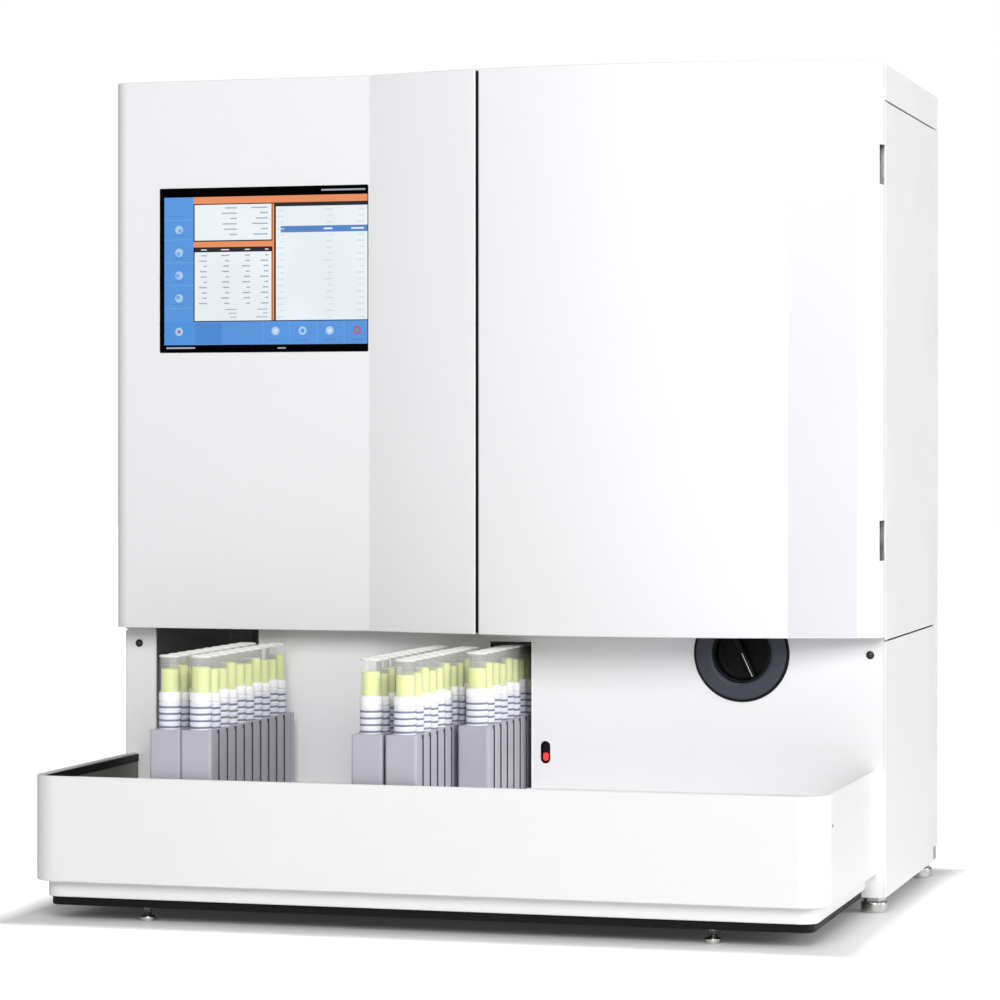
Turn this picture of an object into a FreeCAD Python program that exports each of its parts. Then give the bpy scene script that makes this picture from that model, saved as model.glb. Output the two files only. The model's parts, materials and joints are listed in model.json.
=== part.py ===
import FreeCAD, Part
import math
import os
from FreeCAD import Vector

# A bench-top urine analyzer: a tall cabinet with two doors, and a rack tray in front of it.
# Millimetres. X runs along the width, -Y is the front, +Z is up.
# The origin lies on the bench, under the middle of the whole box.

# Overall sizes
CABINET_WIDTH = 630.0
CABINET_DEPTH = 274.0
OVERALL_HEIGHT = 658.0
TRAY_REACH = 216.0
FOOT_HEIGHT = 12.0
DOOR_STAND_OFF = 26.0
DOOR_BOTTOM = 214.0
TOP_BAND = 28.0
SHEET = 1.5
SEAM = 1.2
COVER_LIP = 8.0
COVER_LIP_INSET = 20.0
OVERRUN = 5.0
REAR_CLEARANCE = 5.0
SLIDE_GAP = 0.3
RUNNING_GAP = 0.06

# Frame, deck and covers
TUBE = 18.0
TUBE_WALL = 1.5
BASE_PLATE = 2.0
MID_DECK_HEIGHT = 252.0
REAR_WRAP = 25.0
REAR_FITTINGS = 2.0
REAR_COVER_LIFT = 12.0
SPLIT_BELOW_DOOR = 3.0
VENT_WIDTH = 4.0
VENT_LENGTH = 46.0
VENT_PITCH = 10.0
VENT_COUNT = 12
VENT_X = -150.0
VENT_ROW_PITCH = 62.0
VENT_LOW_Z = 330.0
VENT_ROWS = 4
NEEDLE_HOLE = 14.0

# Feet
FOOT_RADIUS = 10.5
FOOT_DISC = 8.5
FOOT_EDGE = 1.5
FOOT_STUD_RADIUS = 4.0
FOOT_NUT_FLATS = 15.0
FOOT_INSET = 10.5
REAR_FOOT_INSET = 35.0
TRAY_FOOT_RADIUS = 6.0
TRAY_FOOT_DISC = 4.0
TRAY_FOOT_EDGE = 0.8
TRAY_FOOT_STUD_RADIUS = 3.5
TRAY_FOOT_SPREAD = 440.0
TRAY_FOOT_INSET = 25.0

# Doors
DOOR_SKIN = 2.0
DOOR_GAP = 2.4
DOOR_CORNER = 12.0
DOOR_CREASE_FROM_MIDDLE = 96.0
DOOR_PEAK_FROM_MIDDLE = 96.0
DOOR_BULGE = 31.0
DOOR_SIDE_GAP = 3.0
DOOR_BACK_GAP = 7.0
DOOR_LINER = 1.5
HINGE_FROM_SIDE = 7.0
HINGE_FROM_PANEL = 10.0
HINGE_BARREL_RADIUS = 3.0
HINGE_PIN_RADIUS = 1.2
HINGE_NOTCH = 31.0
HINGE_NOTCH_FRONT = 5.0
HINGE_NOTCH_INNER = 4.5
HINGE_ROOT_KNUCKLE = 13.0
HINGE_ARM = 2.0
HINGE_LEAF_REACH = 10.0
HINGE_LEAF_SIDE = 2.0
HINGE_FLANGE = 11.0
HINGE_DROP = 79.0
HINGE_ABOVE_DECK = 35.5
MAGNET_WIDTH = 16.0
MAGNET_HEIGHT = 10.0
MAGNET_FROM_MIDDLE = 14.0
MAGNET_GAP = 0.4

# Touch screen
SCREEN_WIDTH = 178.0
SCREEN_HEIGHT = 133.5
SCREEN_RIGHT_OF_CREASE = 0.8
SCREEN_BOTTOM = 437.5
SCREEN_THICKNESS = 3.0

# Lower front panel
OPENING_BEHIND_DOOR = 2.0
LANE_OPENING_TOP = 206.0
LEFT_OPENING_X = -288.0
LEFT_OPENING_WIDTH = 89.0
LANE_OPENING_X = -3.0
LANE_OPENING_WIDTH = 34.0
SCREW_FROM_SIDE = 12.0
SCREW_HEIGHT = 200.0
SCREW_HEAD_RADIUS = 3.2
SCREW_HEAD = 1.6
SCREW_RADIUS = 1.5
SCREW_SLOT = 0.8

# Strip port
PORT_X = 201.6
PORT_BELOW_DECK = 52.3
PORT_RING_RADIUS = 38.1
PORT_BORE_RADIUS = 23.3
PORT_NECK_RADIUS = 30.0
PORT_RING = 3.0
PORT_RIM = 1.2
PORT_NECK_LENGTH = 22.0
CAP_WALL = 1.8
CAP_DEPTH = 15.0
CAP_SET_BACK = 1.0
GRIP_WIDTH = 5.0
GRIP_RISE = 10.0
GRIP_TILT = 65.0

# Power rocker
ROCKER_X = 42.6
ROCKER_HEIGHT = 118.5
ROCKER_SLOT_WIDTH = 8.0
ROCKER_SLOT_HEIGHT = 18.0
ROCKER_FRAME_WALL = 1.0
ROCKER_FRAME_DEPTH = 12.0
ROCKER_FRAME_PROUD = 0.4
ROCKER_WIDTH = 5.2
ROCKER_LENGTH = 14.4
ROCKER_THICKNESS = 6.0
ROCKER_SET_BACK = 2.0
ROCKER_PIN_RADIUS = 0.8
LENS_LENGTH = 4.6
LENS_WIDTH = 2.6
LENS_THICKNESS = 0.8

# Rack tray
TRAY_INSET = 7.0
TRAY_TOP = 111.0
TRAY_SKIRT = 30.5
TRAY_WALL = 3.0
TRAY_FLOOR = 2.0
TRAY_CORNER = 22.0
TRAY_HOLE_RADIUS = 1.5
TRAY_HOLE_HEIGHT = 88.0
TRAY_HOLE_INSET = 26.0
LINER_WALL = 1.2
LINER_BELOW_RIM = 2.0
DECK_HEIGHT = 84.0
DECK_SHEET = 2.0
GUIDE_HEIGHT = 6.0
GUIDE_WIDTH = 3.0
BASE_INSET = 9.0
BASE_BOTTOM = 18.0
BASE_WALL = 2.0
PLINTH_INSET = 12.0
PLINTH_BOTTOM = 11.5
LANE_LENGTH = 190.0

# Racks and tubes
RACK_WIDTH = 24.5
RACK_LENGTH = 192.0
RACK_HEIGHT = 63.0
RACK_TUBES = 10
TUBE_PITCH = 18.8
TUBE_RADIUS = 8.0
TUBE_GLASS = 1.0
TUBE_LENGTH = 110.0
TUBE_RISE = 56.0
POCKET_RADIUS = 8.4
RACK_RIB = 1.0
RACK_RIB_WIDTH = 3.0
RACK_END_PLATE = 4.0
RACK_FRONT_GAP = 4.9
RACK_B_RIGHT = -163.0
RACK_D_RIGHT = -1.0
RACK_C_GAP = 2.0
RACK_A_GAP = 0.4
RACK_E_LEFT = 2.0
RACK_E_FRONT = -138.0

# Strip drum
DRUM_RADIUS = 32.0
DRUM_LENGTH = 44.0
DRUM_GAP = 4.0
DRUM_SHAFT_RADIUS = 4.0
DRUM_SHAFT_REACH = 12.0
DRUM_SLOTS = 8
DRUM_SLOT_WIDTH = 6.0
DRUM_SLOT_DEPTH = 5.0
MOTOR_SIDE = 42.0
MOTOR_LENGTH = 38.0
BRACKET_SHEET = 2.5
BRACKET_WIDTH = 60.0

# Sampling arm
COLUMN_X = 70.0
COLUMN_Y = 6.0
COLUMN_BASE_WIDTH = 60.0
COLUMN_BASE_DEPTH = 44.0
COLUMN_BASE_HEIGHT = 10.0
COLUMN_BELOW_TOP = 103.0
ROD_RADIUS = 5.0
ROD_SPREAD = 40.0
SCREW_SHAFT_RADIUS = 4.0
CARRIAGE_HEIGHT = 34.0
CARRIAGE_ABOVE_DECK = 136.5
ARM_THICKNESS = 12.0
ARM_DEPTH = 18.0
NEEDLE_RADIUS = 1.0
NEEDLE_ABOVE_DECK = 8.5
NEEDLE_TUBE_NUMBER = 8
HUB_RADIUS = 6.0
HUB_HEIGHT = 6.0

# Photometer, strip track and pump
TRACK_X = -270.0
TRACK_LENGTH = 240.0
TRACK_Y = 0.0
TRACK_DEPTH = 44.0
TRACK_HEIGHT = 26.0
TRACK_GROOVE = 5.0
TRACK_GROOVE_WIDTH = 6.0
TRACK_GROOVES = 24
HEAD_X = -130.0
HEAD_WIDTH = 70.0
HEAD_HEIGHT = 90.0
HEAD_BACK = 70.0
HEAD_GAP = 14.0
HEAD_LENS_RADIUS = 9.0
HEAD_LENS_LENGTH = 5.0
PUMP_X = 180.0
PUMP_Y = 40.0
PUMP_WIDTH = 64.0
PUMP_DEPTH = 50.0
PUMP_HEIGHT = 74.0
PUMP_POCKET_RADIUS = 24.0
PUMP_POCKET_DEPTH = 18.0
PUMP_ROLLER_RADIUS = 5.0
PUMP_ROLLER_CIRCLE = 15.0
PUMP_ROLLERS = 3
PUMP_SHAFT_RADIUS = 3.0
PUMP_HUB = 4.0
PUMP_FLANGE_RIM = 1.5

# Rear fan
FAN_X = 150.0
FAN_HEIGHT = 470.0
FAN_SIDE = 80.0
FAN_DEPTH = 25.0
FAN_BORE_RADIUS = 37.0
FAN_BLADES = 7
FAN_HUB_RADIUS = 15.0
FAN_TIP_GAP = 1.5
FAN_BLADE = 2.0
FAN_BLADE_DEPTH = 14.0
FAN_BLADE_TILT = 35.0
FAN_SPINDLE_RADIUS = 3.0
FAN_STRUT = 3.0
FAN_STRUT_ANGLES = (0.0, 90.0)
GRILLE_RINGS = 4
GRILLE_RING = 2.0
GRILLE_SLOT = 6.5
GRILLE_HUB = 5.0
GRILLE_BAR_ANGLES = (45.0, 135.0)

# Rear connectors
INLET_X = 240.0
INLET_HEIGHT = 70.0
INLET_WIDTH = 30.0
INLET_TALL = 24.0
INLET_FLANGE = 5.0
INLET_DEPTH = 24.0
SOCKET_WIDTH = 24.0
SOCKET_TALL = 17.0
SOCKET_DEPTH = 17.0
SOCKET_CUT = 5.0
SOCKET_CUT_ANGLE = 45.0
BLADE_LENGTH = 14.0
BLADE_WIDTH = 2.0
BLADE_TALL = 4.0
BLADE_SPREAD = 14.0
BLADE_OFFSET = 4.0
PORTS_X = 170.0
PORTS_WIDTH = 60.0
PORTS_TALL = 22.0
PORTS_DEPTH = 16.0
JACK_WIDTH = 12.0
JACK_TALL = 8.0
JACK_DEPTH = 11.0
JACK_PITCH = 20.0
JACK_COUNT = 2
PORT_TONGUE = 2.0
USB_WIDTH = 12.0
USB_TALL = 5.0

# Electronics and bottles
SUPPLY_WIDTH = 150.0
SUPPLY_DEPTH = 90.0
SUPPLY_HEIGHT = 42.0
SUPPLY_X = -101.0
SUPPLY_VENT = 3.0
SUPPLY_VENTS = 14
SUPPLY_VENT_SHARE = 0.5
BOARD_X = 150.0
BOARD_WIDTH = 180.0
BOARD_DEPTH = 100.0
BOARD_SHEET = 1.6
BOARD_LIFT = 10.0
BOARD_INSET = 6.0
STANDOFF_RADIUS = 3.0
CHIP_SIDE = 24.0
CHIP_HEIGHT = 3.0
CHIP_COUNT = 3
CHIP_DEPTH_SHARE = 0.33
CAPACITOR_RADIUS = 6.0
CAPACITOR_HEIGHT = 16.0
CAPACITOR_DEPTH_SHARE = 0.75
BOTTLE_RADIUS = 36.0
BOTTLE_HEADROOM = 24.0
BOTTLE_WALL = 2.0
BOTTLE_SHOULDER = 18.0
BOTTLE_NECK_RADIUS = 14.0
BOTTLE_NECK = 12.0
BOTTLE_CAP_RADIUS = 17.0
BOTTLE_CAP = 14.0
BOTTLE_PITCH = 80.0
BOTTLE_COUNT = 2
BOTTLE_X = -140.0
BOTTLE_Y = 62.0

# Places worked out from the sizes above
half_width = CABINET_WIDTH / 2
y_rear = (CABINET_DEPTH + TRAY_REACH) / 2
y_tray = -y_rear
y_panel = y_rear - CABINET_DEPTH
y_door = y_panel - DOOR_STAND_OFF
y_cover = y_rear - REAR_FITTINGS
y_inside = y_panel + SHEET
y_back_inside = y_cover - SHEET
x_inside = half_width - SHEET
x_post = x_inside - TUBE
y_front_post = y_inside + TUBE
y_rear_post = y_back_inside - TUBE
z_cabinet = FOOT_HEIGHT
z_base = z_cabinet + BASE_PLATE
z_deck = MID_DECK_HEIGHT + SHEET
z_top_inside = OVERALL_HEIGHT - SHEET
z_band = OVERALL_HEIGHT - TOP_BAND
z_split = DOOR_BOTTOM - SPLIT_BELOW_DOOR
y_wrap = y_cover - REAR_WRAP
door_back = y_panel - DOOR_BACK_GAP
door_side_back = y_panel - DOOR_SIDE_GAP
hinge_y = y_panel - HINGE_FROM_PANEL
hinge_heights = (z_deck + HINGE_ABOVE_DECK, OVERALL_HEIGHT - HINGE_DROP)
crease_x = -DOOR_CREASE_FROM_MIDDLE
port_height = MID_DECK_HEIGHT - PORT_BELOW_DECK
column_top = z_top_inside - COLUMN_BELOW_TOP
carriage_rest = z_deck + CARRIAGE_ABOVE_DECK
needle_tip = z_deck + NEEDLE_ABOVE_DECK
bottle_top = MID_DECK_HEIGHT - BOTTLE_HEADROOM
bottle_height = bottle_top - BOTTLE_CAP - BOTTLE_NECK - BOTTLE_SHOULDER - z_base
tray_half = half_width - TRAY_INSET
x_needle = RACK_E_LEFT + RACK_WIDTH / 2
rack_end = (RACK_LENGTH - (RACK_TUBES - 1) * TUBE_PITCH) / 2
y_needle = RACK_E_FRONT + rack_end + (NEEDLE_TUBE_NUMBER - 1) * TUBE_PITCH


# Plain forms that the pieces are made from
def block(x0, x1, y0, y1, z0, z1):
    return Part.makeBox(x1 - x0, y1 - y0, z1 - z0, Vector(x0, y0, z0))


def rod(radius, length, x, y, z, direction=Vector(0, 0, 1)):
    return Part.makeCylinder(radius, length, Vector(x, y, z), direction)


def tube(outer, inner, length, x, y, z, direction=Vector(0, 0, 1)):
    return rod(outer, length, x, y, z, direction).cut(rod(inner, length, x, y, z, direction))


def line(a, b):
    return Part.LineSegment(Vector(a[0], a[1], 0), Vector(b[0], b[1], 0)).toShape()


def arc(a, middle, b):
    points = [Vector(p[0], p[1], 0) for p in (a, middle, b)]
    return Part.Arc(*points).toShape()


def on_circle(centre, radius, degrees):
    angle = math.radians(degrees)
    return (centre[0] + radius * math.cos(angle), centre[1] + radius * math.sin(angle))


def prism(edges, z0, z1):
    face = Part.Face(Part.Wire(edges))
    solid = face.extrude(Vector(0, 0, z1 - z0))
    solid.translate(Vector(0, 0, z0))
    return solid


def front_rounded(half, y_front, y_back, radius, z0, z1):
    """A slab whose two front vertical corners are rounded, as the tray's pieces are."""
    left = (-half + radius, y_front + radius)
    right = (half - radius, y_front + radius)
    edges = [line((-half, y_back), (-half, left[1])),
             arc((-half, left[1]), on_circle(left, radius, 225), (left[0], y_front)),
             line((left[0], y_front), (right[0], y_front)),
             arc((right[0], y_front), on_circle(right, radius, 315), (half, right[1])),
             line((half, right[1]), (half, y_back)),
             line((half, y_back), (-half, y_back))]
    return prism(edges, z0, z1)


def oblong(width, height, x, z, y0, y1):
    """A bar along Y whose cross-section is a slot with round ends, longer in Z."""
    r = width / 2
    straight = (height - width) / 2
    body = block(x - r, x + r, y0, y1, z - straight, z + straight)
    for side in (-1, 1):
        body = body.fuse(rod(r, y1 - y0, x, y0, z + side * straight, Vector(0, 1, 0)))
    return body.removeSplitter()


def hexagon(flats, height, x, y, z):
    corner = flats / math.sqrt(3)
    points = [on_circle((x, y), corner, 60 * n) for n in range(6)]
    edges = [line(points[n], points[(n + 1) % 6]) for n in range(6)]
    return prism(edges, z, z + height)


def group(solids):
    return Part.makeCompound(solids)


def turned(shape, degrees, x, y, z, axis):
    copy = shape.copy()
    copy.rotate(Vector(x, y, z), axis, degrees)
    return copy


def mirrored(shape):
    return shape.mirror(Vector(0, 0, 0), Vector(1, 0, 0))


def save(name, shape):
    if shape.ShapeType == "Compound":
        solids = shape.Solids
        shape = solids[0] if len(solids) == 1 else Part.makeCompound(solids)
    shape.exportStep(os.path.join("parts", name + ".step"))


# The cabinet's frame and decks
def base_plate():
    plate = block(-x_inside, x_inside, y_inside, y_back_inside, z_cabinet, z_base)
    for x, y in cabinet_foot_places():
        plate = plate.cut(rod(FOOT_STUD_RADIUS, BASE_PLATE, x, y, z_cabinet))
    return plate


def square_tube(x0, x1, y0, y1, z0, z1, along):
    outer = block(x0, x1, y0, y1, z0, z1)
    w = TUBE_WALL
    cuts = {"x": (0, w, w), "y": (w, 0, w), "z": (w, w, 0)}[along]
    inner = block(x0 + cuts[0], x1 - cuts[0], y0 + cuts[1], y1 - cuts[1], z0 + cuts[2], z1 - cuts[2])
    return outer.cut(inner)


def frame_uprights():
    posts = []
    for y0 in (y_inside, y_rear_post):
        post = square_tube(x_post, x_inside, y0, y0 + TUBE, z_base, z_top_inside, "z")
        posts += [post, mirrored(post)]
    return group(posts)


def frame_rails():
    top = z_top_inside - TUBE
    rails = [square_tube(-x_post, x_post, y0, y0 + TUBE, top, z_top_inside, "x")
             for y0 in (y_inside, y_rear_post)]
    for z0 in (top, MID_DECK_HEIGHT - TUBE):
        rail = square_tube(x_post, x_inside, y_front_post, y_rear_post, z0, z0 + TUBE, "y")
        rails += [rail, mirrored(rail)]
    rails.append(square_tube(-x_post, x_post, y_rear_post, y_back_inside,
                             MID_DECK_HEIGHT - TUBE, MID_DECK_HEIGHT, "x"))
    return group(rails)


def mid_deck():
    deck = block(-x_inside, x_inside, y_front_post, y_rear_post, MID_DECK_HEIGHT, z_deck)
    tongue = block(-x_post, x_post, y_inside, y_back_inside, MID_DECK_HEIGHT, z_deck)
    deck = deck.fuse(tongue).removeSplitter()
    half_hole = NEEDLE_HOLE / 2
    return deck.cut(block(x_needle - half_hole, x_needle + half_hole, y_needle - half_hole,
                          y_needle + half_hole, MID_DECK_HEIGHT - OVERRUN, z_deck + OVERRUN))


# Outer panels
def side_panel(z0, z1):
    return block(x_inside, half_width, y_panel, y_wrap - SEAM / 2, z0, z1)


def top_cover():
    shell = block(-half_width, half_width, y_panel, y_cover, z_band, OVERALL_HEIGHT)
    shell = shell.cut(block(-x_inside, x_inside, y_inside, y_back_inside,
                            z_band - OVERRUN, z_top_inside))
    x_lip = half_width - COVER_LIP_INSET
    lip = block(-x_lip, x_lip, door_back + SEAM / 2, y_panel, OVERALL_HEIGHT - COVER_LIP, OVERALL_HEIGHT)
    return shell.fuse(lip).removeSplitter()


def rear_cover():
    z0 = z_cabinet + REAR_COVER_LIFT
    z1 = z_band - SEAM
    cover = block(-half_width, half_width, y_wrap, y_cover, z0, z1)
    cover = cover.cut(block(-x_inside, x_inside, y_wrap - OVERRUN, y_back_inside,
                            z0 - OVERRUN, z1 + OVERRUN))
    for row in range(VENT_ROWS):
        for n in range(VENT_COUNT):
            x = VENT_X + (n - (VENT_COUNT - 1) / 2) * VENT_PITCH
            z = VENT_LOW_Z + row * VENT_ROW_PITCH
            cover = cover.cut(oblong(VENT_WIDTH, VENT_LENGTH, x, z, y_back_inside, y_cover))
    cover = cover.cut(rod(FAN_BORE_RADIUS, SHEET, FAN_X, y_back_inside, FAN_HEIGHT, Vector(0, 1, 0)))
    cover = cover.fuse(fan_grille()).removeSplitter()
    for x, width, tall in ((INLET_X, INLET_WIDTH, INLET_TALL), (PORTS_X, PORTS_WIDTH, PORTS_TALL)):
        cover = cover.cut(block(x - width / 2, x + width / 2, y_back_inside, y_cover,
                                INLET_HEIGHT - tall / 2, INLET_HEIGHT + tall / 2))
    return cover


def fan_grille():
    y_axis = Vector(0, 1, 0)
    grille = rod(GRILLE_HUB, SHEET, FAN_X, y_back_inside, FAN_HEIGHT, y_axis)
    for n in range(GRILLE_RINGS):
        inner = GRILLE_HUB + GRILLE_SLOT + n * (GRILLE_SLOT + GRILLE_RING)
        if inner + GRILLE_RING < FAN_BORE_RADIUS:
            grille = grille.fuse(tube(inner + GRILLE_RING, inner, SHEET, FAN_X, y_back_inside,
                                      FAN_HEIGHT, y_axis))
    bar = block(FAN_X - FAN_BORE_RADIUS, FAN_X + FAN_BORE_RADIUS, y_back_inside, y_cover,
                FAN_HEIGHT - GRILLE_RING / 2, FAN_HEIGHT + GRILLE_RING / 2)
    for degrees in GRILLE_BAR_ANGLES:
        grille = grille.fuse(turned(bar, degrees, FAN_X, y_back_inside, FAN_HEIGHT, y_axis))
    return grille


def lower_front_panel():
    panel = block(-x_inside, x_inside, y_panel, y_inside, z_cabinet, z_deck)
    left_top = DOOR_BOTTOM + OPENING_BEHIND_DOOR
    for x, width, top in ((LEFT_OPENING_X, LEFT_OPENING_WIDTH, left_top),
                          (LANE_OPENING_X, LANE_OPENING_WIDTH, LANE_OPENING_TOP)):
        panel = panel.cut(block(x, x + width, y_panel, y_inside, DECK_HEIGHT, top))
    y_axis = Vector(0, 1, 0)
    panel = panel.cut(rod(PORT_NECK_RADIUS, SHEET, PORT_X, y_panel, port_height, y_axis))
    panel = panel.cut(oblong(ROCKER_SLOT_WIDTH, ROCKER_SLOT_HEIGHT, ROCKER_X, ROCKER_HEIGHT,
                             y_panel, y_inside))
    for side in (-1, 1):
        x = side * (half_width - SCREW_FROM_SIDE)
        panel = panel.cut(rod(SCREW_RADIUS, SHEET, x, y_panel, SCREW_HEIGHT, y_axis))
    return panel


def panel_screws():
    screws = []
    y_head = y_panel - SCREW_HEAD
    for side in (-1, 1):
        x = side * (half_width - SCREW_FROM_SIDE)
        head = rod(SCREW_HEAD_RADIUS, SCREW_HEAD, x, y_head, SCREW_HEIGHT, Vector(0, 1, 0))
        shank = rod(SCREW_RADIUS, SHEET, x, y_panel, SCREW_HEIGHT, Vector(0, 1, 0))
        arm = SCREW_HEAD_RADIUS / 2
        slot = SCREW_SLOT / 2
        for along, across in ((arm, slot), (slot, arm)):
            head = head.cut(block(x - along, x + along, y_head, y_head + SCREW_SLOT,
                                  SCREW_HEIGHT - across, SCREW_HEIGHT + across))
        screws.append(head.fuse(shank).removeSplitter())
    return group(screws)


# Feet
def cabinet_foot_places():
    x = half_width - FOOT_INSET
    return [(side * x, y) for y in (y_panel + FOOT_INSET, y_cover - REAR_FOOT_INSET) for side in (-1, 1)]


def cabinet_feet():
    feet = []
    for x, y in cabinet_foot_places():
        disc = rod(FOOT_RADIUS, FOOT_DISC, x, y, 0)
        disc = disc.makeFillet(FOOT_EDGE, disc.Edges)
        stud = rod(FOOT_STUD_RADIUS, z_base - FOOT_DISC / 2, x, y, FOOT_DISC / 2)
        nut = hexagon(FOOT_NUT_FLATS, FOOT_HEIGHT - FOOT_DISC, x, y, FOOT_DISC)
        nut = nut.cut(rod(FOOT_STUD_RADIUS, FOOT_HEIGHT, x, y, 0))
        feet += [disc.fuse(stud).removeSplitter(), nut]
    return group(feet)


def tray_feet():
    feet = []
    for side in (-1, 1):
        x = side * TRAY_FOOT_SPREAD / 2
        y = y_tray + TRAY_FOOT_INSET
        disc = rod(TRAY_FOOT_RADIUS, TRAY_FOOT_DISC, x, y, 0)
        disc = disc.makeFillet(TRAY_FOOT_EDGE, disc.Edges)
        middle = TRAY_FOOT_DISC / 2
        stud = rod(TRAY_FOOT_STUD_RADIUS, PLINTH_BOTTOM - middle, x, y, middle)
        feet.append(disc.fuse(stud).removeSplitter())
    return group(feet)


# The rack tray
def tray_shell():
    outer = front_rounded(tray_half, y_tray, y_panel, TRAY_CORNER, TRAY_SKIRT, TRAY_TOP)
    inner = front_rounded(tray_half - TRAY_WALL, y_tray + TRAY_WALL, y_panel + OVERRUN,
                          TRAY_CORNER - TRAY_WALL, TRAY_SKIRT + TRAY_FLOOR, TRAY_TOP + OVERRUN)
    shell = outer.cut(inner)
    for side in (-1, 1):
        hole = rod(TRAY_HOLE_RADIUS, TRAY_WALL + OVERRUN, side * (tray_half + OVERRUN),
                   y_tray + TRAY_HOLE_INSET, TRAY_HOLE_HEIGHT, Vector(-side, 0, 0))
        shell = shell.cut(hole)
    return shell


def tray_liner():
    half = tray_half - TRAY_WALL
    front = y_tray + TRAY_WALL
    radius = TRAY_CORNER - TRAY_WALL
    top = TRAY_TOP - LINER_BELOW_RIM
    outer = front_rounded(half, front, y_panel, radius, DECK_HEIGHT, top)
    inner = front_rounded(half - LINER_WALL, front + LINER_WALL, y_panel + OVERRUN,
                          radius - LINER_WALL, DECK_HEIGHT - OVERRUN, top + OVERRUN)
    return outer.cut(inner)


def tray_deck():
    half = tray_half - TRAY_WALL
    front = y_tray + TRAY_WALL
    z0 = DECK_HEIGHT - DECK_SHEET
    z_floor = TRAY_SKIRT + TRAY_FLOOR
    deck = front_rounded(half, front, y_panel, TRAY_CORNER - TRAY_WALL, z0, DECK_HEIGHT)
    reach = half - TRAY_CORNER
    for y in (front, (front + y_panel) / 2, y_panel - DECK_SHEET):
        deck = deck.fuse(block(-reach, reach, y, y + DECK_SHEET, z_floor, z0))
    return deck.removeSplitter()


def deck_guides():
    """The rails on the deck: two along the panel, and one beside the lane of the rack in use."""
    z1 = DECK_HEIGHT + GUIDE_HEIGHT
    y_guide = y_panel - GUIDE_WIDTH
    y_lane = y_tray + TRAY_WALL + LINER_WALL + GUIDE_WIDTH
    reach = tray_half - TRAY_WALL - TRAY_CORNER
    lane_right = LANE_OPENING_X + LANE_OPENING_WIDTH
    left_end = LEFT_OPENING_X + LEFT_OPENING_WIDTH
    return group([block(left_end, LANE_OPENING_X, y_guide, y_panel, DECK_HEIGHT, z1),
                  block(lane_right, reach, y_guide, y_panel, DECK_HEIGHT, z1),
                  block(lane_right - GUIDE_WIDTH, lane_right, y_lane, y_panel, DECK_HEIGHT, z1)])


def tray_base():
    half = tray_half - BASE_INSET
    front = y_tray + BASE_INSET
    radius = TRAY_CORNER - BASE_INSET
    pan = front_rounded(half, front, y_panel, radius, BASE_BOTTOM, TRAY_SKIRT)
    return pan.cut(front_rounded(half - BASE_WALL, front + BASE_WALL, y_panel - BASE_WALL,
                                 radius - BASE_WALL, BASE_BOTTOM + BASE_WALL, TRAY_SKIRT + OVERRUN))


def tray_plinth():
    return front_rounded(tray_half - PLINTH_INSET, y_tray + PLINTH_INSET, y_panel,
                         TRAY_CORNER - PLINTH_INSET, PLINTH_BOTTOM, BASE_BOTTOM)


def lane_decks():
    lanes = []
    z0 = DECK_HEIGHT - DECK_SHEET
    for x, width in ((LEFT_OPENING_X, LEFT_OPENING_WIDTH), (LANE_OPENING_X, LANE_OPENING_WIDTH)):
        lane = block(x, x + width, y_inside, y_inside + LANE_LENGTH, z_base, DECK_HEIGHT)
        lanes.append(lane.cut(block(x + DECK_SHEET, x + width - DECK_SHEET, y_inside - OVERRUN,
                                    y_inside + LANE_LENGTH + OVERRUN, z_base - OVERRUN, z0)))
    return group(lanes)


# Racks and their tubes
def rack_places():
    """The lower left front corner of each rack, by letter."""
    y_row = y_tray + TRAY_WALL + LINER_WALL + RACK_FRONT_GAP
    b = RACK_B_RIGHT - RACK_WIDTH
    d = RACK_D_RIGHT - RACK_WIDTH
    return {"a": (b - RACK_A_GAP - RACK_WIDTH, y_row), "b": (b, y_row),
            "c": (d - RACK_C_GAP - RACK_WIDTH, y_row), "d": (d, y_row),
            "e": (RACK_E_LEFT, RACK_E_FRONT)}


def tube_places(x0, y0):
    return [(x0 + RACK_WIDTH / 2, y0 + rack_end + n * TUBE_PITCH) for n in range(RACK_TUBES)]


def rack(x0, y0):
    z0 = DECK_HEIGHT + SLIDE_GAP
    z1 = z0 + RACK_HEIGHT
    y1 = y0 + RACK_LENGTH
    body = block(x0 + RACK_RIB, x0 + RACK_WIDTH - RACK_RIB, y0, y1, z0, z1)
    ends = [block(x0, x0 + RACK_WIDTH, y, y + RACK_END_PLATE, z0, z1) for y in (y0, y1 - RACK_END_PLATE)]
    between = [y0 + rack_end + (n + 1 / 2) * TUBE_PITCH for n in range(RACK_TUBES - 1)]
    ribs = [block(x0, x0 + RACK_WIDTH, y - RACK_RIB_WIDTH / 2, y + RACK_RIB_WIDTH / 2, z0, z1)
            for y in between]
    body = body.multiFuse(ends + ribs).removeSplitter()
    z_tube = z1 + TUBE_RISE - TUBE_LENGTH
    pockets = [rod(POCKET_RADIUS, z1 - z_tube + OVERRUN, x, y, z_tube) for x, y in tube_places(x0, y0)]
    return body.cut(Part.makeCompound(pockets))


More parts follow.
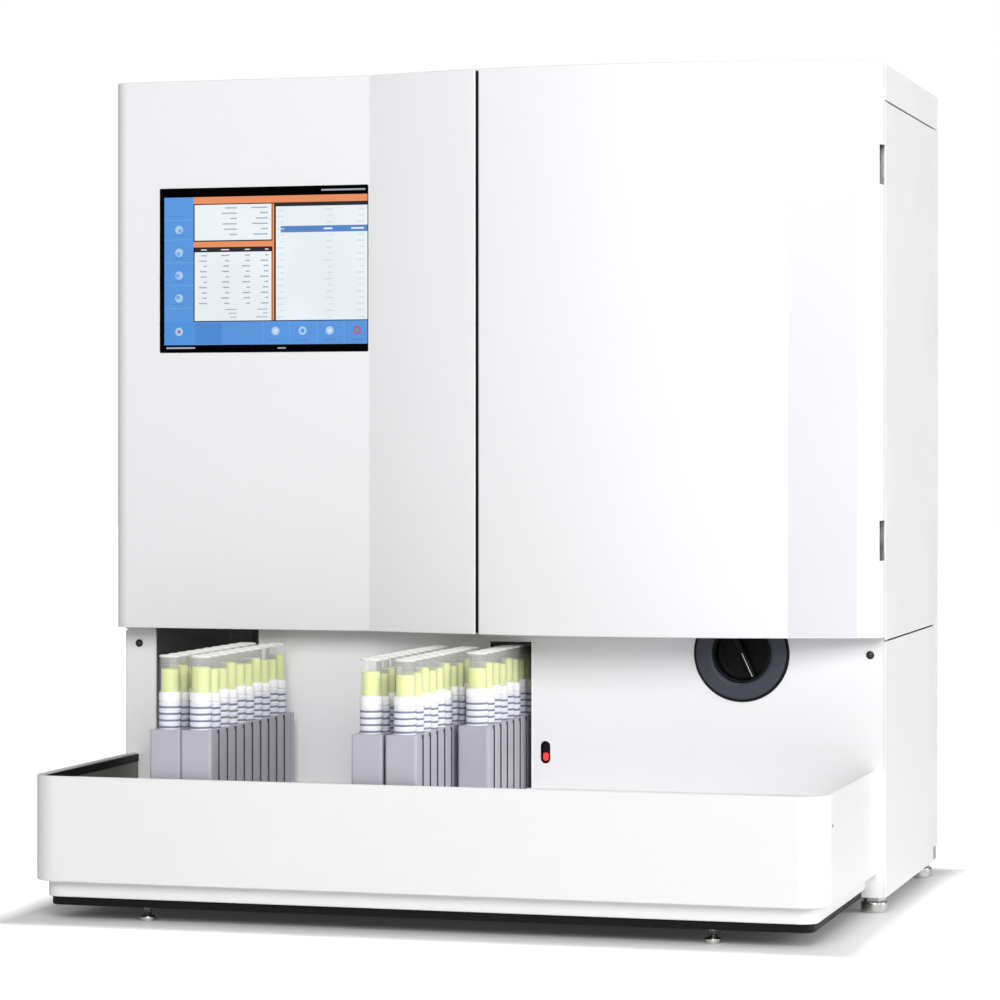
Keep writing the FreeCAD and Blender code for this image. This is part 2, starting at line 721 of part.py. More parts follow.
def rack_tubes(x0, y0):
    z1 = DECK_HEIGHT + SLIDE_GAP + RACK_HEIGHT
    z0 = z1 + TUBE_RISE - TUBE_LENGTH
    outer = rod(TUBE_RADIUS, TUBE_LENGTH - TUBE_RADIUS, 0, 0, TUBE_RADIUS)
    outer = outer.fuse(Part.makeSphere(TUBE_RADIUS, Vector(0, 0, TUBE_RADIUS)))
    bore = TUBE_RADIUS - TUBE_GLASS
    inner = rod(bore, TUBE_LENGTH, 0, 0, TUBE_RADIUS)
    inner = inner.fuse(Part.makeSphere(bore, Vector(0, 0, TUBE_RADIUS)))
    glass = outer.cut(inner).removeSplitter()
    tubes = []
    for x, y in tube_places(x0, y0):
        copy = glass.copy()
        copy.translate(Vector(x, y, z0))
        tubes.append(copy)
    return group(tubes)


# Doors
def bulge_circle():
    """Centre and radius of the arc that swells forward from the crease to the right end."""
    run = DOOR_PEAK_FROM_MIDDLE - crease_x
    radius = (run ** 2 + DOOR_BULGE ** 2) / (2 * DOOR_BULGE)
    return (DOOR_PEAK_FROM_MIDDLE, y_door - DOOR_BULGE + radius), radius


def arc_y(x, inset):
    centre, radius = bulge_circle()
    return centre[1] - math.sqrt((radius - inset) ** 2 - (x - centre[0]) ** 2)


def left_outline(inset, y_end):
    """The left door seen from above, its outer face drawn in by inset."""
    centre, radius = bulge_circle()
    x_side = -half_width + inset
    x_gap = -DOOR_GAP / 2 - inset
    front = y_door + inset
    corner = (-half_width + DOOR_CORNER, y_door + DOOR_CORNER)
    bend = DOOR_CORNER - inset
    x_crease = centre[0] - math.sqrt((radius - inset) ** 2 - (centre[1] - front) ** 2)
    x_middle = (x_crease + x_gap) / 2
    return [line((x_side, y_end), (x_side, corner[1])),
            arc((x_side, corner[1]), on_circle(corner, bend, 225), (corner[0], front)),
            line((corner[0], front), (x_crease, front)),
            arc((x_crease, front), (x_middle, arc_y(x_middle, inset)), (x_gap, arc_y(x_gap, inset))),
            line((x_gap, arc_y(x_gap, inset)), (x_gap, y_end)),
            line((x_gap, y_end), (x_side, y_end))]


def right_outline(inset, y_end):
    """The right door seen from above: one arc from the gap to a rounded outer corner."""
    centre, radius = bulge_circle()
    x_gap = DOOR_GAP / 2 + inset
    x_side = half_width - inset
    corner_x = half_width - DOOR_CORNER
    reach = radius - DOOR_CORNER
    corner = (corner_x, centre[1] - math.sqrt(reach ** 2 - (corner_x - centre[0]) ** 2))
    aim = math.degrees(math.atan2(corner[1] - centre[1], corner[0] - centre[0]))
    meet = on_circle(centre, radius - inset, aim)
    x_middle = (x_gap + meet[0]) / 2
    bend = DOOR_CORNER - inset
    return [line((x_gap, y_end), (x_gap, arc_y(x_gap, inset))),
            arc((x_gap, arc_y(x_gap, inset)), (x_middle, arc_y(x_middle, inset)), meet),
            arc(meet, on_circle(corner, bend, aim / 2), (x_side, corner[1])),
            line((x_side, corner[1]), (x_side, y_end)),
            line((x_side, y_end), (x_gap, y_end))]


def door_volume(side, inset, z0, z1, y_back):
    outline = (left_outline if side < 0 else right_outline)(inset, y_panel + DOOR_STAND_OFF)
    y_front = y_door - DOOR_BULGE - OVERRUN
    return prism(outline, z0, z1).common(block(-half_width, half_width, y_front, y_back, z0, z1))


def door_cavity(side, y_back):
    return door_volume(side, DOOR_SKIN, DOOR_BOTTOM + DOOR_SKIN, OVERALL_HEIGHT - DOOR_SKIN, y_back)


def side_return(side):
    """The rim that reaches back past the door's ends towards the cabinet side."""
    outer = door_volume(side, 0, DOOR_BOTTOM, OVERALL_HEIGHT, door_side_back)
    inner = door_volume(side, DOOR_SKIN, DOOR_BOTTOM, OVERALL_HEIGHT, door_side_back)
    zone = block(half_width - DOOR_CORNER, half_width, door_back, door_side_back,
                 DOOR_BOTTOM, OVERALL_HEIGHT)
    return outer.cut(inner).common(zone if side > 0 else mirrored(zone))


def hinge_notches(side):
    """Cut-outs in the door's side rim that clear the hinge barrels and their arms."""
    x0 = half_width - HINGE_FROM_SIDE - HINGE_NOTCH_INNER
    cuts = []
    for z in hinge_heights:
        cut = block(x0, half_width + OVERRUN, hinge_y - HINGE_NOTCH_FRONT, y_panel,
                    z - HINGE_NOTCH / 2, z + HINGE_NOTCH / 2)
        cuts.append(cut if side > 0 else mirrored(cut))
    return Part.makeCompound(cuts)


def door_skin(side):
    shell = door_volume(side, 0, DOOR_BOTTOM, OVERALL_HEIGHT, door_back).fuse(side_return(side))
    shell = shell.removeSplitter().cut(door_cavity(side, y_panel))
    if side < 0:
        shell = shell.cut(display_glass())
    return shell.cut(hinge_notches(side))


def door_liner(side):
    cavity = door_cavity(side, door_back)
    slab = block(-half_width, half_width, door_back - DOOR_LINER, door_back, DOOR_BOTTOM, OVERALL_HEIGHT)
    return cavity.common(slab).cut(hinge_notches(side))


def hinge_leaves(side):
    x = half_width - HINGE_FROM_SIDE
    leaves = []
    cavity = door_cavity(side, y_panel)
    for z in hinge_heights:
        for z0, z1 in ((z - HINGE_NOTCH / 2 + SLIDE_GAP, z - HINGE_ROOT_KNUCKLE / 2 - SLIDE_GAP),
                       (z + HINGE_ROOT_KNUCKLE / 2 + SLIDE_GAP, z + HINGE_NOTCH / 2 - SLIDE_GAP)):
            leaf = block(x - HINGE_LEAF_REACH, x + HINGE_LEAF_SIDE, y_door - DOOR_BULGE, hinge_y, z0, z1)
            leaf = leaf if side > 0 else mirrored(leaf)
            barrel = rod(HINGE_BARREL_RADIUS, z1 - z0, side * x, hinge_y, z0)
            leaf = leaf.common(cavity).fuse(barrel).removeSplitter()
            leaves.append(leaf.cut(rod(HINGE_PIN_RADIUS + RUNNING_GAP, z1 - z0, side * x, hinge_y, z0)))
    return group(leaves)


def hinge_brackets():
    """Arms on the front posts, and the pins that stand in them."""
    x = half_width - HINGE_FROM_SIDE
    pieces = []
    for z in hinge_heights:
        z0 = z - HINGE_ROOT_KNUCKLE / 2
        z1 = z + HINGE_ROOT_KNUCKLE / 2
        arm = block(x - HINGE_ARM / 2, x + HINGE_ARM / 2, hinge_y, y_inside, z0, z1)
        flange = block(x - HINGE_FLANGE, x, y_inside - HINGE_ARM, y_inside, z0, z1)
        barrel = rod(HINGE_BARREL_RADIUS, z1 - z0, x, hinge_y, z0)
        bracket = barrel.fuse(arm).fuse(flange).removeSplitter()
        bracket = bracket.cut(rod(HINGE_PIN_RADIUS, z1 - z0, x, hinge_y, z0))
        pin = rod(HINGE_PIN_RADIUS, HINGE_NOTCH - 2 * SLIDE_GAP, x, hinge_y, z - HINGE_NOTCH / 2 + SLIDE_GAP)
        for piece in (bracket, pin):
            pieces += [piece, mirrored(piece)]
    return group(pieces)


def door_magnets():
    magnets = []
    y0 = door_back + MAGNET_GAP
    for side in (-1, 1):
        x0 = side * MAGNET_FROM_MIDDLE - MAGNET_WIDTH / 2
        for z1 in (OVERALL_HEIGHT - COVER_LIP, z_deck):
            magnets.append(block(x0, x0 + MAGNET_WIDTH, y0, y_panel, z1 - MAGNET_HEIGHT, z1))
    return group(magnets)


def display_glass():
    x1 = crease_x - SCREEN_RIGHT_OF_CREASE
    return block(x1 - SCREEN_WIDTH, x1, y_door, y_door + SCREEN_THICKNESS,
                 SCREEN_BOTTOM, SCREEN_BOTTOM + SCREEN_HEIGHT)


# The strip port and the drum behind it
def strip_port_ring():
    y_axis = Vector(0, 1, 0)
    y0 = y_panel - PORT_RING
    ring = rod(PORT_RING_RADIUS, PORT_RING, PORT_X, y0, port_height, y_axis)
    ring = ring.makeChamfer(PORT_RIM, [e for e in ring.Edges if e.BoundBox.YMax - y0 < PORT_RING / 2
                                       and len(e.Vertexes) == 1])
    neck = rod(PORT_NECK_RADIUS, PORT_NECK_LENGTH, PORT_X, y_panel, port_height, y_axis)
    ring = ring.fuse(neck).removeSplitter()
    return ring.cut(rod(PORT_BORE_RADIUS, PORT_NECK_LENGTH + 2 * OVERRUN, PORT_X, y0 - OVERRUN,
                        port_height, y_axis))


def strip_port_cap():
    y_axis = Vector(0, 1, 0)
    radius = PORT_BORE_RADIUS - SLIDE_GAP
    y0 = y_panel - PORT_RING + CAP_SET_BACK
    cup = rod(radius, CAP_DEPTH, PORT_X, y0, port_height, y_axis)
    hollow = rod(radius - CAP_WALL, CAP_DEPTH - CAP_WALL, PORT_X, y0, port_height, y_axis)
    cup = cup.cut(hollow)
    y_floor = y0 + CAP_DEPTH - CAP_WALL
    grip = block(PORT_X - radius, PORT_X + radius, y_floor - GRIP_RISE, y_floor,
                 port_height - GRIP_WIDTH / 2, port_height + GRIP_WIDTH / 2)
    grip = turned(grip, GRIP_TILT, PORT_X, y_floor, port_height, y_axis).common(hollow)
    return cup.fuse(grip).removeSplitter()


def strip_drum():
    y_axis = Vector(0, 1, 0)
    y0 = y_panel + PORT_NECK_LENGTH + DRUM_GAP
    drum = rod(DRUM_RADIUS, DRUM_LENGTH, PORT_X, y0, port_height, y_axis)
    slot = block(PORT_X - DRUM_SLOT_WIDTH / 2, PORT_X + DRUM_SLOT_WIDTH / 2, y0, y0 + DRUM_LENGTH,
                 port_height + DRUM_RADIUS - DRUM_SLOT_DEPTH, port_height + DRUM_RADIUS + OVERRUN)
    for n in range(DRUM_SLOTS):
        drum = drum.cut(turned(slot, 360 * n / DRUM_SLOTS, PORT_X, y0, port_height, y_axis))
    shaft = rod(DRUM_SHAFT_RADIUS, DRUM_LENGTH + SLIDE_GAP + BRACKET_SHEET + DRUM_SHAFT_REACH,
                PORT_X, y0, port_height, y_axis)
    return drum.fuse(shaft).removeSplitter()


def drum_motor():
    """The plate that hangs from the deck, and the motor bolted behind it."""
    y_axis = Vector(0, 1, 0)
    y0 = y_panel + PORT_NECK_LENGTH + DRUM_GAP + DRUM_LENGTH + SLIDE_GAP
    bore = rod(DRUM_SHAFT_RADIUS + RUNNING_GAP, BRACKET_SHEET + DRUM_SHAFT_REACH + SLIDE_GAP,
               PORT_X, y0, port_height, y_axis)
    half = MOTOR_SIDE / 2
    plate = block(PORT_X - BRACKET_WIDTH / 2, PORT_X + BRACKET_WIDTH / 2, y0, y0 + BRACKET_SHEET,
                  port_height - half, MID_DECK_HEIGHT)
    y1 = y0 + BRACKET_SHEET
    motor = block(PORT_X - half, PORT_X + half, y1, y1 + MOTOR_LENGTH,
                  port_height - half, port_height + half)
    return group([plate.cut(bore), motor.cut(bore)])


# The power rocker
def rocker_frame():
    y0 = y_panel - ROCKER_FRAME_PROUD
    y1 = y0 + ROCKER_FRAME_DEPTH
    wall = 2 * ROCKER_FRAME_WALL
    frame = oblong(ROCKER_SLOT_WIDTH, ROCKER_SLOT_HEIGHT, ROCKER_X, ROCKER_HEIGHT, y0, y1)
    hollow = oblong(ROCKER_SLOT_WIDTH - wall, ROCKER_SLOT_HEIGHT - wall, ROCKER_X, ROCKER_HEIGHT,
                    y0, y1 - ROCKER_FRAME_WALL)
    frame = frame.cut(hollow)
    return frame.cut(rocker_pin(ROCKER_PIN_RADIUS + RUNNING_GAP, ROCKER_SLOT_WIDTH))


def rocker_pin(radius, length):
    y = y_panel + ROCKER_SET_BACK + ROCKER_THICKNESS / 2
    return rod(radius, length, ROCKER_X - length / 2, y, ROCKER_HEIGHT, Vector(1, 0, 0))


def power_rocker():
    y0 = y_panel + ROCKER_SET_BACK
    body = oblong(ROCKER_WIDTH, ROCKER_LENGTH, ROCKER_X, ROCKER_HEIGHT, y0, y0 + ROCKER_THICKNESS)
    body = body.fuse(rocker_pin(ROCKER_PIN_RADIUS, ROCKER_SLOT_WIDTH - ROCKER_FRAME_WALL))
    z_lens = ROCKER_HEIGHT - ROCKER_LENGTH / 2 + LENS_LENGTH
    lens = block(ROCKER_X - LENS_WIDTH / 2, ROCKER_X + LENS_WIDTH / 2, y0 - LENS_THICKNESS, y0,
                 z_lens - LENS_LENGTH / 2, z_lens + LENS_LENGTH / 2)
    return group([body.removeSplitter(), lens])


# The sampling arm
def rod_places():
    return [(COLUMN_X + side * ROD_SPREAD / 2, COLUMN_Y) for side in (-1, 1)]


def arm_column():
    half = COLUMN_BASE_WIDTH / 2
    deep = COLUMN_BASE_DEPTH / 2
    z1 = z_deck + COLUMN_BASE_HEIGHT
    z2 = column_top - COLUMN_BASE_HEIGHT
    plates = [block(COLUMN_X - half, COLUMN_X + half, COLUMN_Y - deep, COLUMN_Y + deep,
                    z, z + COLUMN_BASE_HEIGHT) for z in (z_deck, z2)]
    rods = [rod(ROD_RADIUS, z2 - z1, x, y, z1) for x, y in rod_places()]
    return group(plates + rods + [rod(SCREW_SHAFT_RADIUS, z2 - z1, COLUMN_X, COLUMN_Y, z1)])


def arm_carriage():
    half = COLUMN_BASE_WIDTH / 2
    deep = COLUMN_BASE_DEPTH / 2
    z1 = carriage_rest + CARRIAGE_HEIGHT
    carriage = block(COLUMN_X - half, COLUMN_X + half, COLUMN_Y - deep, COLUMN_Y + deep, carriage_rest, z1)
    bores = [rod(ROD_RADIUS + RUNNING_GAP, CARRIAGE_HEIGHT, x, y, carriage_rest) for x, y in rod_places()]
    bores.append(rod(SCREW_SHAFT_RADIUS + RUNNING_GAP, CARRIAGE_HEIGHT, COLUMN_X, COLUMN_Y, carriage_rest))
    carriage = carriage.cut(Part.makeCompound(bores))
    arm = block(x_needle, COLUMN_X - half, y_needle - ARM_DEPTH / 2, y_needle + ARM_DEPTH / 2,
                carriage_rest, carriage_rest + ARM_THICKNESS)
    hub = rod(ARM_DEPTH / 2, ARM_THICKNESS, x_needle, y_needle, carriage_rest)
    carriage = carriage.fuse(arm).fuse(hub).removeSplitter()
    return carriage.cut(rod(NEEDLE_RADIUS, ARM_THICKNESS, x_needle, y_needle, carriage_rest))


def probe_needle():
    top = carriage_rest + ARM_THICKNESS
    needle = rod(NEEDLE_RADIUS, top - needle_tip, x_needle, y_needle, needle_tip)
    return needle.fuse(rod(HUB_RADIUS, HUB_HEIGHT, x_needle, y_needle, top)).removeSplitter()


# Photometer, strip track and pump
def strip_track():
    top = z_deck + TRACK_HEIGHT
    track = block(TRACK_X, TRACK_X + TRACK_LENGTH, TRACK_Y, TRACK_Y + TRACK_DEPTH, z_deck, top)
    pitch = TRACK_LENGTH / TRACK_GROOVES
    grooves = [block(TRACK_X + (n + 1 / 2) * pitch - TRACK_GROOVE_WIDTH / 2,
                     TRACK_X + (n + 1 / 2) * pitch + TRACK_GROOVE_WIDTH / 2,
                     TRACK_Y + TRACK_GROOVE, TRACK_Y + TRACK_DEPTH - TRACK_GROOVE,
                     top - TRACK_GROOVE, top + OVERRUN) for n in range(TRACK_GROOVES)]
    return track.cut(Part.makeCompound(grooves))


def photometer_head():
    """A post behind the track that carries the reading head over it, and its lens."""
    x0 = HEAD_X - HEAD_WIDTH / 2
    x1 = HEAD_X + HEAD_WIDTH / 2
    y0 = TRACK_Y + TRACK_DEPTH
    z0 = z_deck + TRACK_HEIGHT + HEAD_GAP
    post = block(x0, x1, y0, y0 + HEAD_BACK, z_deck, z0)
    head = block(x0, x1, TRACK_Y, y0 + HEAD_BACK, z0, z0 + HEAD_HEIGHT)
    body = post.fuse(head).removeSplitter()
    y_lens = TRACK_Y + TRACK_DEPTH / 2
    lens = rod(HEAD_LENS_RADIUS, HEAD_LENS_LENGTH, HEAD_X, y_lens, z0 - HEAD_LENS_LENGTH)
    return group([body, lens])


def pump_body():
    y_axis = Vector(0, 1, 0)
    z_middle = z_deck + PUMP_HEIGHT / 2
    body = block(PUMP_X - PUMP_WIDTH / 2, PUMP_X + PUMP_WIDTH / 2, PUMP_Y, PUMP_Y + PUMP_DEPTH,
                 z_deck, z_deck + PUMP_HEIGHT)
    body = body.cut(rod(PUMP_POCKET_RADIUS, PUMP_POCKET_DEPTH, PUMP_X, PUMP_Y, z_middle, y_axis))
    return body.cut(rod(PUMP_SHAFT_RADIUS + RUNNING_GAP, PUMP_POCKET_DEPTH, PUMP_X,
                        PUMP_Y + PUMP_POCKET_DEPTH, z_middle, y_axis))


def pump_rotor():
    y_axis = Vector(0, 1, 0)
    z_middle = z_deck + PUMP_HEIGHT / 2
    flange = PUMP_ROLLER_CIRCLE + PUMP_ROLLER_RADIUS + PUMP_FLANGE_RIM
    y_far = PUMP_Y + PUMP_POCKET_DEPTH - PUMP_HUB - SLIDE_GAP
    rotor = rod(flange, PUMP_HUB, PUMP_X, PUMP_Y, z_middle, y_axis)
    rotor = rotor.fuse(rod(flange, PUMP_HUB, PUMP_X, y_far, z_middle, y_axis))
    rotor = rotor.fuse(rod(PUMP_SHAFT_RADIUS, 2 * PUMP_POCKET_DEPTH - PUMP_HUB, PUMP_X, PUMP_Y,
                           z_middle, y_axis))
    for n in range(PUMP_ROLLERS):
        x, z = on_circle((PUMP_X, z_middle), PUMP_ROLLER_CIRCLE, 360 * n / PUMP_ROLLERS)
        rotor = rotor.fuse(rod(PUMP_ROLLER_RADIUS, y_far - PUMP_Y, x, PUMP_Y, z, y_axis))
    return rotor.removeSplitter()


# The rear fan
def fan_housing():
    y_axis = Vector(0, 1, 0)
    half = FAN_SIDE / 2
    y0 = y_back_inside - FAN_DEPTH
    frame = block(FAN_X - half, FAN_X + half, y0, y_back_inside, FAN_HEIGHT - half, FAN_HEIGHT + half)
    frame = frame.cut(rod(FAN_BORE_RADIUS, FAN_DEPTH, FAN_X, y0, FAN_HEIGHT, y_axis))
    strut = block(FAN_X - half + FAN_STRUT, FAN_X + half - FAN_STRUT, y0, y0 + FAN_STRUT,
                  FAN_HEIGHT - FAN_STRUT / 2, FAN_HEIGHT + FAN_STRUT / 2)
    for degrees in FAN_STRUT_ANGLES:
        frame = frame.fuse(turned(strut, degrees, FAN_X, y0, FAN_HEIGHT, y_axis))
    frame = frame.fuse(rod(FAN_HUB_RADIUS, FAN_STRUT, FAN_X, y0, FAN_HEIGHT, y_axis))
    frame = frame.fuse(rod(FAN_SPINDLE_RADIUS, FAN_BLADE_DEPTH, FAN_X, y0, FAN_HEIGHT, y_axis))
    return frame.removeSplitter()


def fan_rotor():
    y_axis = Vector(0, 1, 0)
    y0 = y_back_inside - FAN_DEPTH + FAN_STRUT + SLIDE_GAP
    hub = rod(FAN_HUB_RADIUS, FAN_BLADE_DEPTH, FAN_X, y0, FAN_HEIGHT, y_axis)
    tip = FAN_BORE_RADIUS - FAN_TIP_GAP
    blade = block(FAN_X, FAN_X + tip - FAN_BLADE, y0 + FAN_BLADE_DEPTH / 2 - FAN_BLADE / 2,
                  y0 + FAN_BLADE_DEPTH / 2 + FAN_BLADE / 2, FAN_HEIGHT - FAN_BLADE_DEPTH / 2,
                  FAN_HEIGHT + FAN_BLADE_DEPTH / 2)
    blade = turned(blade, FAN_BLADE_TILT, FAN_X, y0 + FAN_BLADE_DEPTH / 2, FAN_HEIGHT, Vector(1, 0, 0))
    rotor = hub
    for n in range(FAN_BLADES):
        rotor = rotor.fuse(turned(blade, 360 * n / FAN_BLADES, FAN_X, y0, FAN_HEIGHT, y_axis))
    rotor = rotor.removeSplitter()
    spindle = FAN_SPINDLE_RADIUS + RUNNING_GAP
    return rotor.cut(rod(spindle, FAN_BLADE_DEPTH - FAN_STRUT, FAN_X, y0, FAN_HEIGHT, y_axis))


# Rear connectors
def power_inlet():
    y_axis = Vector(0, 1, 0)
    half = INLET_WIDTH / 2
    tall = INLET_TALL / 2
    flange = block(INLET_X - half - INLET_FLANGE, INLET_X + half + INLET_FLANGE, y_cover, y_rear,
                   INLET_HEIGHT - tall - INLET_FLANGE, INLET_HEIGHT + tall + INLET_FLANGE)
    body = block(INLET_X - half, INLET_X + half, y_rear - INLET_DEPTH, y_cover,
                 INLET_HEIGHT - tall, INLET_HEIGHT + tall)
    body = body.fuse(flange).removeSplitter()
    w = SOCKET_WIDTH / 2
    h = SOCKET_TALL / 2
    y0 = y_rear - SOCKET_DEPTH
    socket = block(INLET_X - w, INLET_X + w, y0, y_rear, INLET_HEIGHT - h, INLET_HEIGHT + h)
    for side in (-1, 1):
        corner = block(-SOCKET_CUT, SOCKET_CUT, y0 - OVERRUN, y_rear + OVERRUN, -SOCKET_CUT, SOCKET_CUT)
        corner.rotate(Vector(0, 0, 0), y_axis, SOCKET_CUT_ANGLE)
        corner.translate(Vector(INLET_X + side * w, 0, INLET_HEIGHT + h))
        socket = socket.cut(corner)
    pieces = [body.cut(socket)]
    outer = BLADE_SPREAD / 2
    for x, z in ((-outer, -BLADE_OFFSET / 2), (0, BLADE_OFFSET), (outer, -BLADE_OFFSET / 2)):
        left = INLET_X + x - BLADE_WIDTH / 2
        pieces.append(block(left, left + BLADE_WIDTH, y0, y0 + BLADE_LENGTH,
                            INLET_HEIGHT + z - BLADE_TALL / 2, INLET_HEIGHT + z + BLADE_TALL / 2))
    return group(pieces)


def data_ports():
    half = PORTS_WIDTH / 2
    tall = PORTS_TALL / 2
    body = block(PORTS_X - half, PORTS_X + half, y_rear - PORTS_DEPTH, y_cover,
                 INLET_HEIGHT - tall, INLET_HEIGHT + tall)
    x0 = PORTS_X - half + JACK_PITCH / 2
    for n in range(JACK_COUNT):
        x = x0 + n * JACK_PITCH
        body = body.cut(block(x - JACK_WIDTH / 2, x + JACK_WIDTH / 2, y_cover - JACK_DEPTH, y_cover,
                              INLET_HEIGHT - JACK_TALL / 2, INLET_HEIGHT + JACK_TALL / 2))
    x = x0 + JACK_COUNT * JACK_PITCH
    for z in (-tall / 2, tall / 2):
        body = body.cut(block(x - USB_WIDTH / 2, x + USB_WIDTH / 2, y_cover - JACK_DEPTH, y_cover,
                              INLET_HEIGHT + z - USB_TALL / 2, INLET_HEIGHT + z + USB_TALL / 2))
        body = body.fuse(block(x - USB_WIDTH / 2 + PORT_TONGUE / 2, x + USB_WIDTH / 2 - PORT_TONGUE / 2,
                               y_cover - JACK_DEPTH, y_cover - PORT_TONGUE,
                               INLET_HEIGHT + z - PORT_TONGUE / 2, INLET_HEIGHT + z + PORT_TONGUE / 2))
    return body.removeSplitter()


# Electronics and bottles
def power_supply():
    x0 = SUPPLY_X - SUPPLY_WIDTH / 2
    y1 = y_rear_post - REAR_CLEARANCE
    case = block(x0, x0 + SUPPLY_WIDTH, y1 - SUPPLY_DEPTH, y1, z_base, z_base + SUPPLY_HEIGHT)
    pitch = SUPPLY_WIDTH / SUPPLY_VENTS
    top = z_base + SUPPLY_HEIGHT
    y_middle = y1 - SUPPLY_DEPTH / 2
    reach = SUPPLY_DEPTH * SUPPLY_VENT_SHARE / 2
    vents = [block(x0 + (n + 1 / 2) * pitch - SUPPLY_VENT / 2, x0 + (n + 1 / 2) * pitch + SUPPLY_VENT / 2,
                   y_middle - reach, y_middle + reach, top - SUPPLY_VENT, top)
             for n in range(SUPPLY_VENTS)]
    return case.cut(Part.makeCompound(vents))


def main_board():
    """The circuit board on its stand-offs, with its larger parts."""
    x0 = BOARD_X - BOARD_WIDTH / 2
    y1 = y_rear_post - REAR_CLEARANCE
    y0 = y1 - BOARD_DEPTH
    z0 = z_base + BOARD_LIFT
    z1 = z0 + BOARD_SHEET
    pieces = [block(x0, x0 + BOARD_WIDTH, y0, y1, z0, z1)]
    for x in (x0 + BOARD_INSET, x0 + BOARD_WIDTH - BOARD_INSET):
        for y in (y0 + BOARD_INSET, y1 - BOARD_INSET):
            pieces.append(rod(STANDOFF_RADIUS, BOARD_LIFT, x, y, z_base))
    for n in range(CHIP_COUNT):
        x = x0 + BOARD_WIDTH * (n + 1) / (CHIP_COUNT + 1)
        y = y0 + BOARD_DEPTH * CHIP_DEPTH_SHARE
        pieces.append(block(x - CHIP_SIDE / 2, x + CHIP_SIDE / 2, y - CHIP_SIDE / 2, y + CHIP_SIDE / 2,
                            z1, z1 + CHIP_HEIGHT))
        y = y0 + BOARD_DEPTH * CAPACITOR_DEPTH_SHARE
        pieces.append(rod(CAPACITOR_RADIUS, CAPACITOR_HEIGHT, x, y, z1))
    return group(pieces)


def supply_bottles():
    pieces = []
    for n in range(BOTTLE_COUNT):
        x = BOTTLE_X + n * BOTTLE_PITCH
        z1 = z_base + bottle_height
        z2 = z1 + BOTTLE_SHOULDER
        bottle = rod(BOTTLE_RADIUS, bottle_height, x, BOTTLE_Y, z_base)
        bottle = bottle.fuse(Part.makeCone(BOTTLE_RADIUS, BOTTLE_NECK_RADIUS, BOTTLE_SHOULDER,
                                           Vector(x, BOTTLE_Y, z1)))
        bottle = bottle.fuse(rod(BOTTLE_NECK_RADIUS, BOTTLE_NECK, x, BOTTLE_Y, z2)).removeSplitter()
        hollow = rod(BOTTLE_RADIUS - BOTTLE_WALL, bottle_height - BOTTLE_WALL, x, BOTTLE_Y,
                     z_base + BOTTLE_WALL)
        hollow = hollow.fuse(Part.makeCone(BOTTLE_RADIUS - BOTTLE_WALL, BOTTLE_NECK_RADIUS - BOTTLE_WALL,
                                           BOTTLE_SHOULDER, Vector(x, BOTTLE_Y, z1)))
        hollow = hollow.fuse(rod(BOTTLE_NECK_RADIUS - BOTTLE_WALL, BOTTLE_NECK, x, BOTTLE_Y, z2))
        cap = rod(BOTTLE_CAP_RADIUS, BOTTLE_CAP, x, BOTTLE_Y, z2 + BOTTLE_NECK)
        pieces += [bottle.cut(hollow), cap]
    return group(pieces)


def pieces():
    """Every sub-part's name and shape."""
    yield "base_plate", base_plate()
    yield "frame_uprights", frame_uprights()
    yield "frame_rails", frame_rails()
    yield "mid_deck", mid_deck()
    for level, z0, z1 in (("lower", z_cabinet, z_split - SEAM / 2),
                          ("upper", z_split + SEAM / 2, z_band - SEAM)):
        panel = side_panel(z0, z1)
        yield "right_" + level + "_side", panel
        yield "left_" + level + "_side", mirrored(panel)
    yield "top_cover", top_cover()
    yield "rear_cover", rear_cover()
    yield "lower_front_panel", lower_front_panel()
    yield "panel_screws", panel_screws()
    yield "cabinet_feet", cabinet_feet()
    yield "tray_shell", tray_shell()
    yield "tray_liner", tray_liner()
    yield "tray_deck", tray_deck()
    yield "deck_guides", deck_guides()
    yield "tray_base", tray_base()
    yield "tray_plinth", tray_plinth()
    yield "tray_feet", tray_feet()
    yield "lane_decks", lane_decks()
    for letter, (x, y) in rack_places().items():
        yield "rack_" + letter, rack(x, y)
        yield "rack_" + letter + "_tubes", rack_tubes(x, y)
    for name, side in (("left", -1), ("right", 1)):
        yield name + "_door_skin", door_skin(side)
        yield name + "_door_liner", door_liner(side)
        yield name + "_hinge_leaves", hinge_leaves(side)
    yield "hinge_brackets", hinge_brackets()
    yield "door_magnets", door_magnets()
    yield "display_glass", display_glass()
    yield "strip_port_ring", strip_port_ring()
    yield "strip_port_cap", strip_port_cap()
    yield "strip_drum", strip_drum()
    yield "drum_motor", drum_motor()
    yield "rocker_frame", rocker_frame()
    yield "power_rocker", power_rocker()
    yield "arm_column", arm_column()
    yield "arm_carriage", arm_carriage()
    yield "probe_needle", probe_needle()
    yield "strip_track", strip_track()
    yield "photometer_head", photometer_head()
    yield "pump_body", pump_body()
    yield "pump_rotor", pump_rotor()
    yield "fan_housing", fan_housing()
    yield "fan_rotor", fan_rotor()
    yield "power_inlet", power_inlet()
    yield "data_ports", data_ports()
    yield "power_supply", power_supply()
    yield "main_board", main_board()
    yield "supply_bottles", supply_bottles()


os.makedirs("parts", exist_ok=True)
for name, shape in pieces():
    save(name, shape)
    print(name, len(shape.Solids), "solids,", "valid" if shape.isValid() else "NOT VALID")
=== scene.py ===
# %% [markdown]
# # A bench-top urine analyzer
# The machine is a tall white cabinet with two doors, a touch screen in the left one and a bowed
# front. Racks of sample tubes stand in an open tray before it and pass inside through two openings.
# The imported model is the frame: every length here is in metres, in the frame's own axes, with the
# front towards -Y. Nothing below moves a part of the frame. It is dressed, and where a plain solid
# would look plain, a finer surface of the same size takes its place.
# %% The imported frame
import json
import math

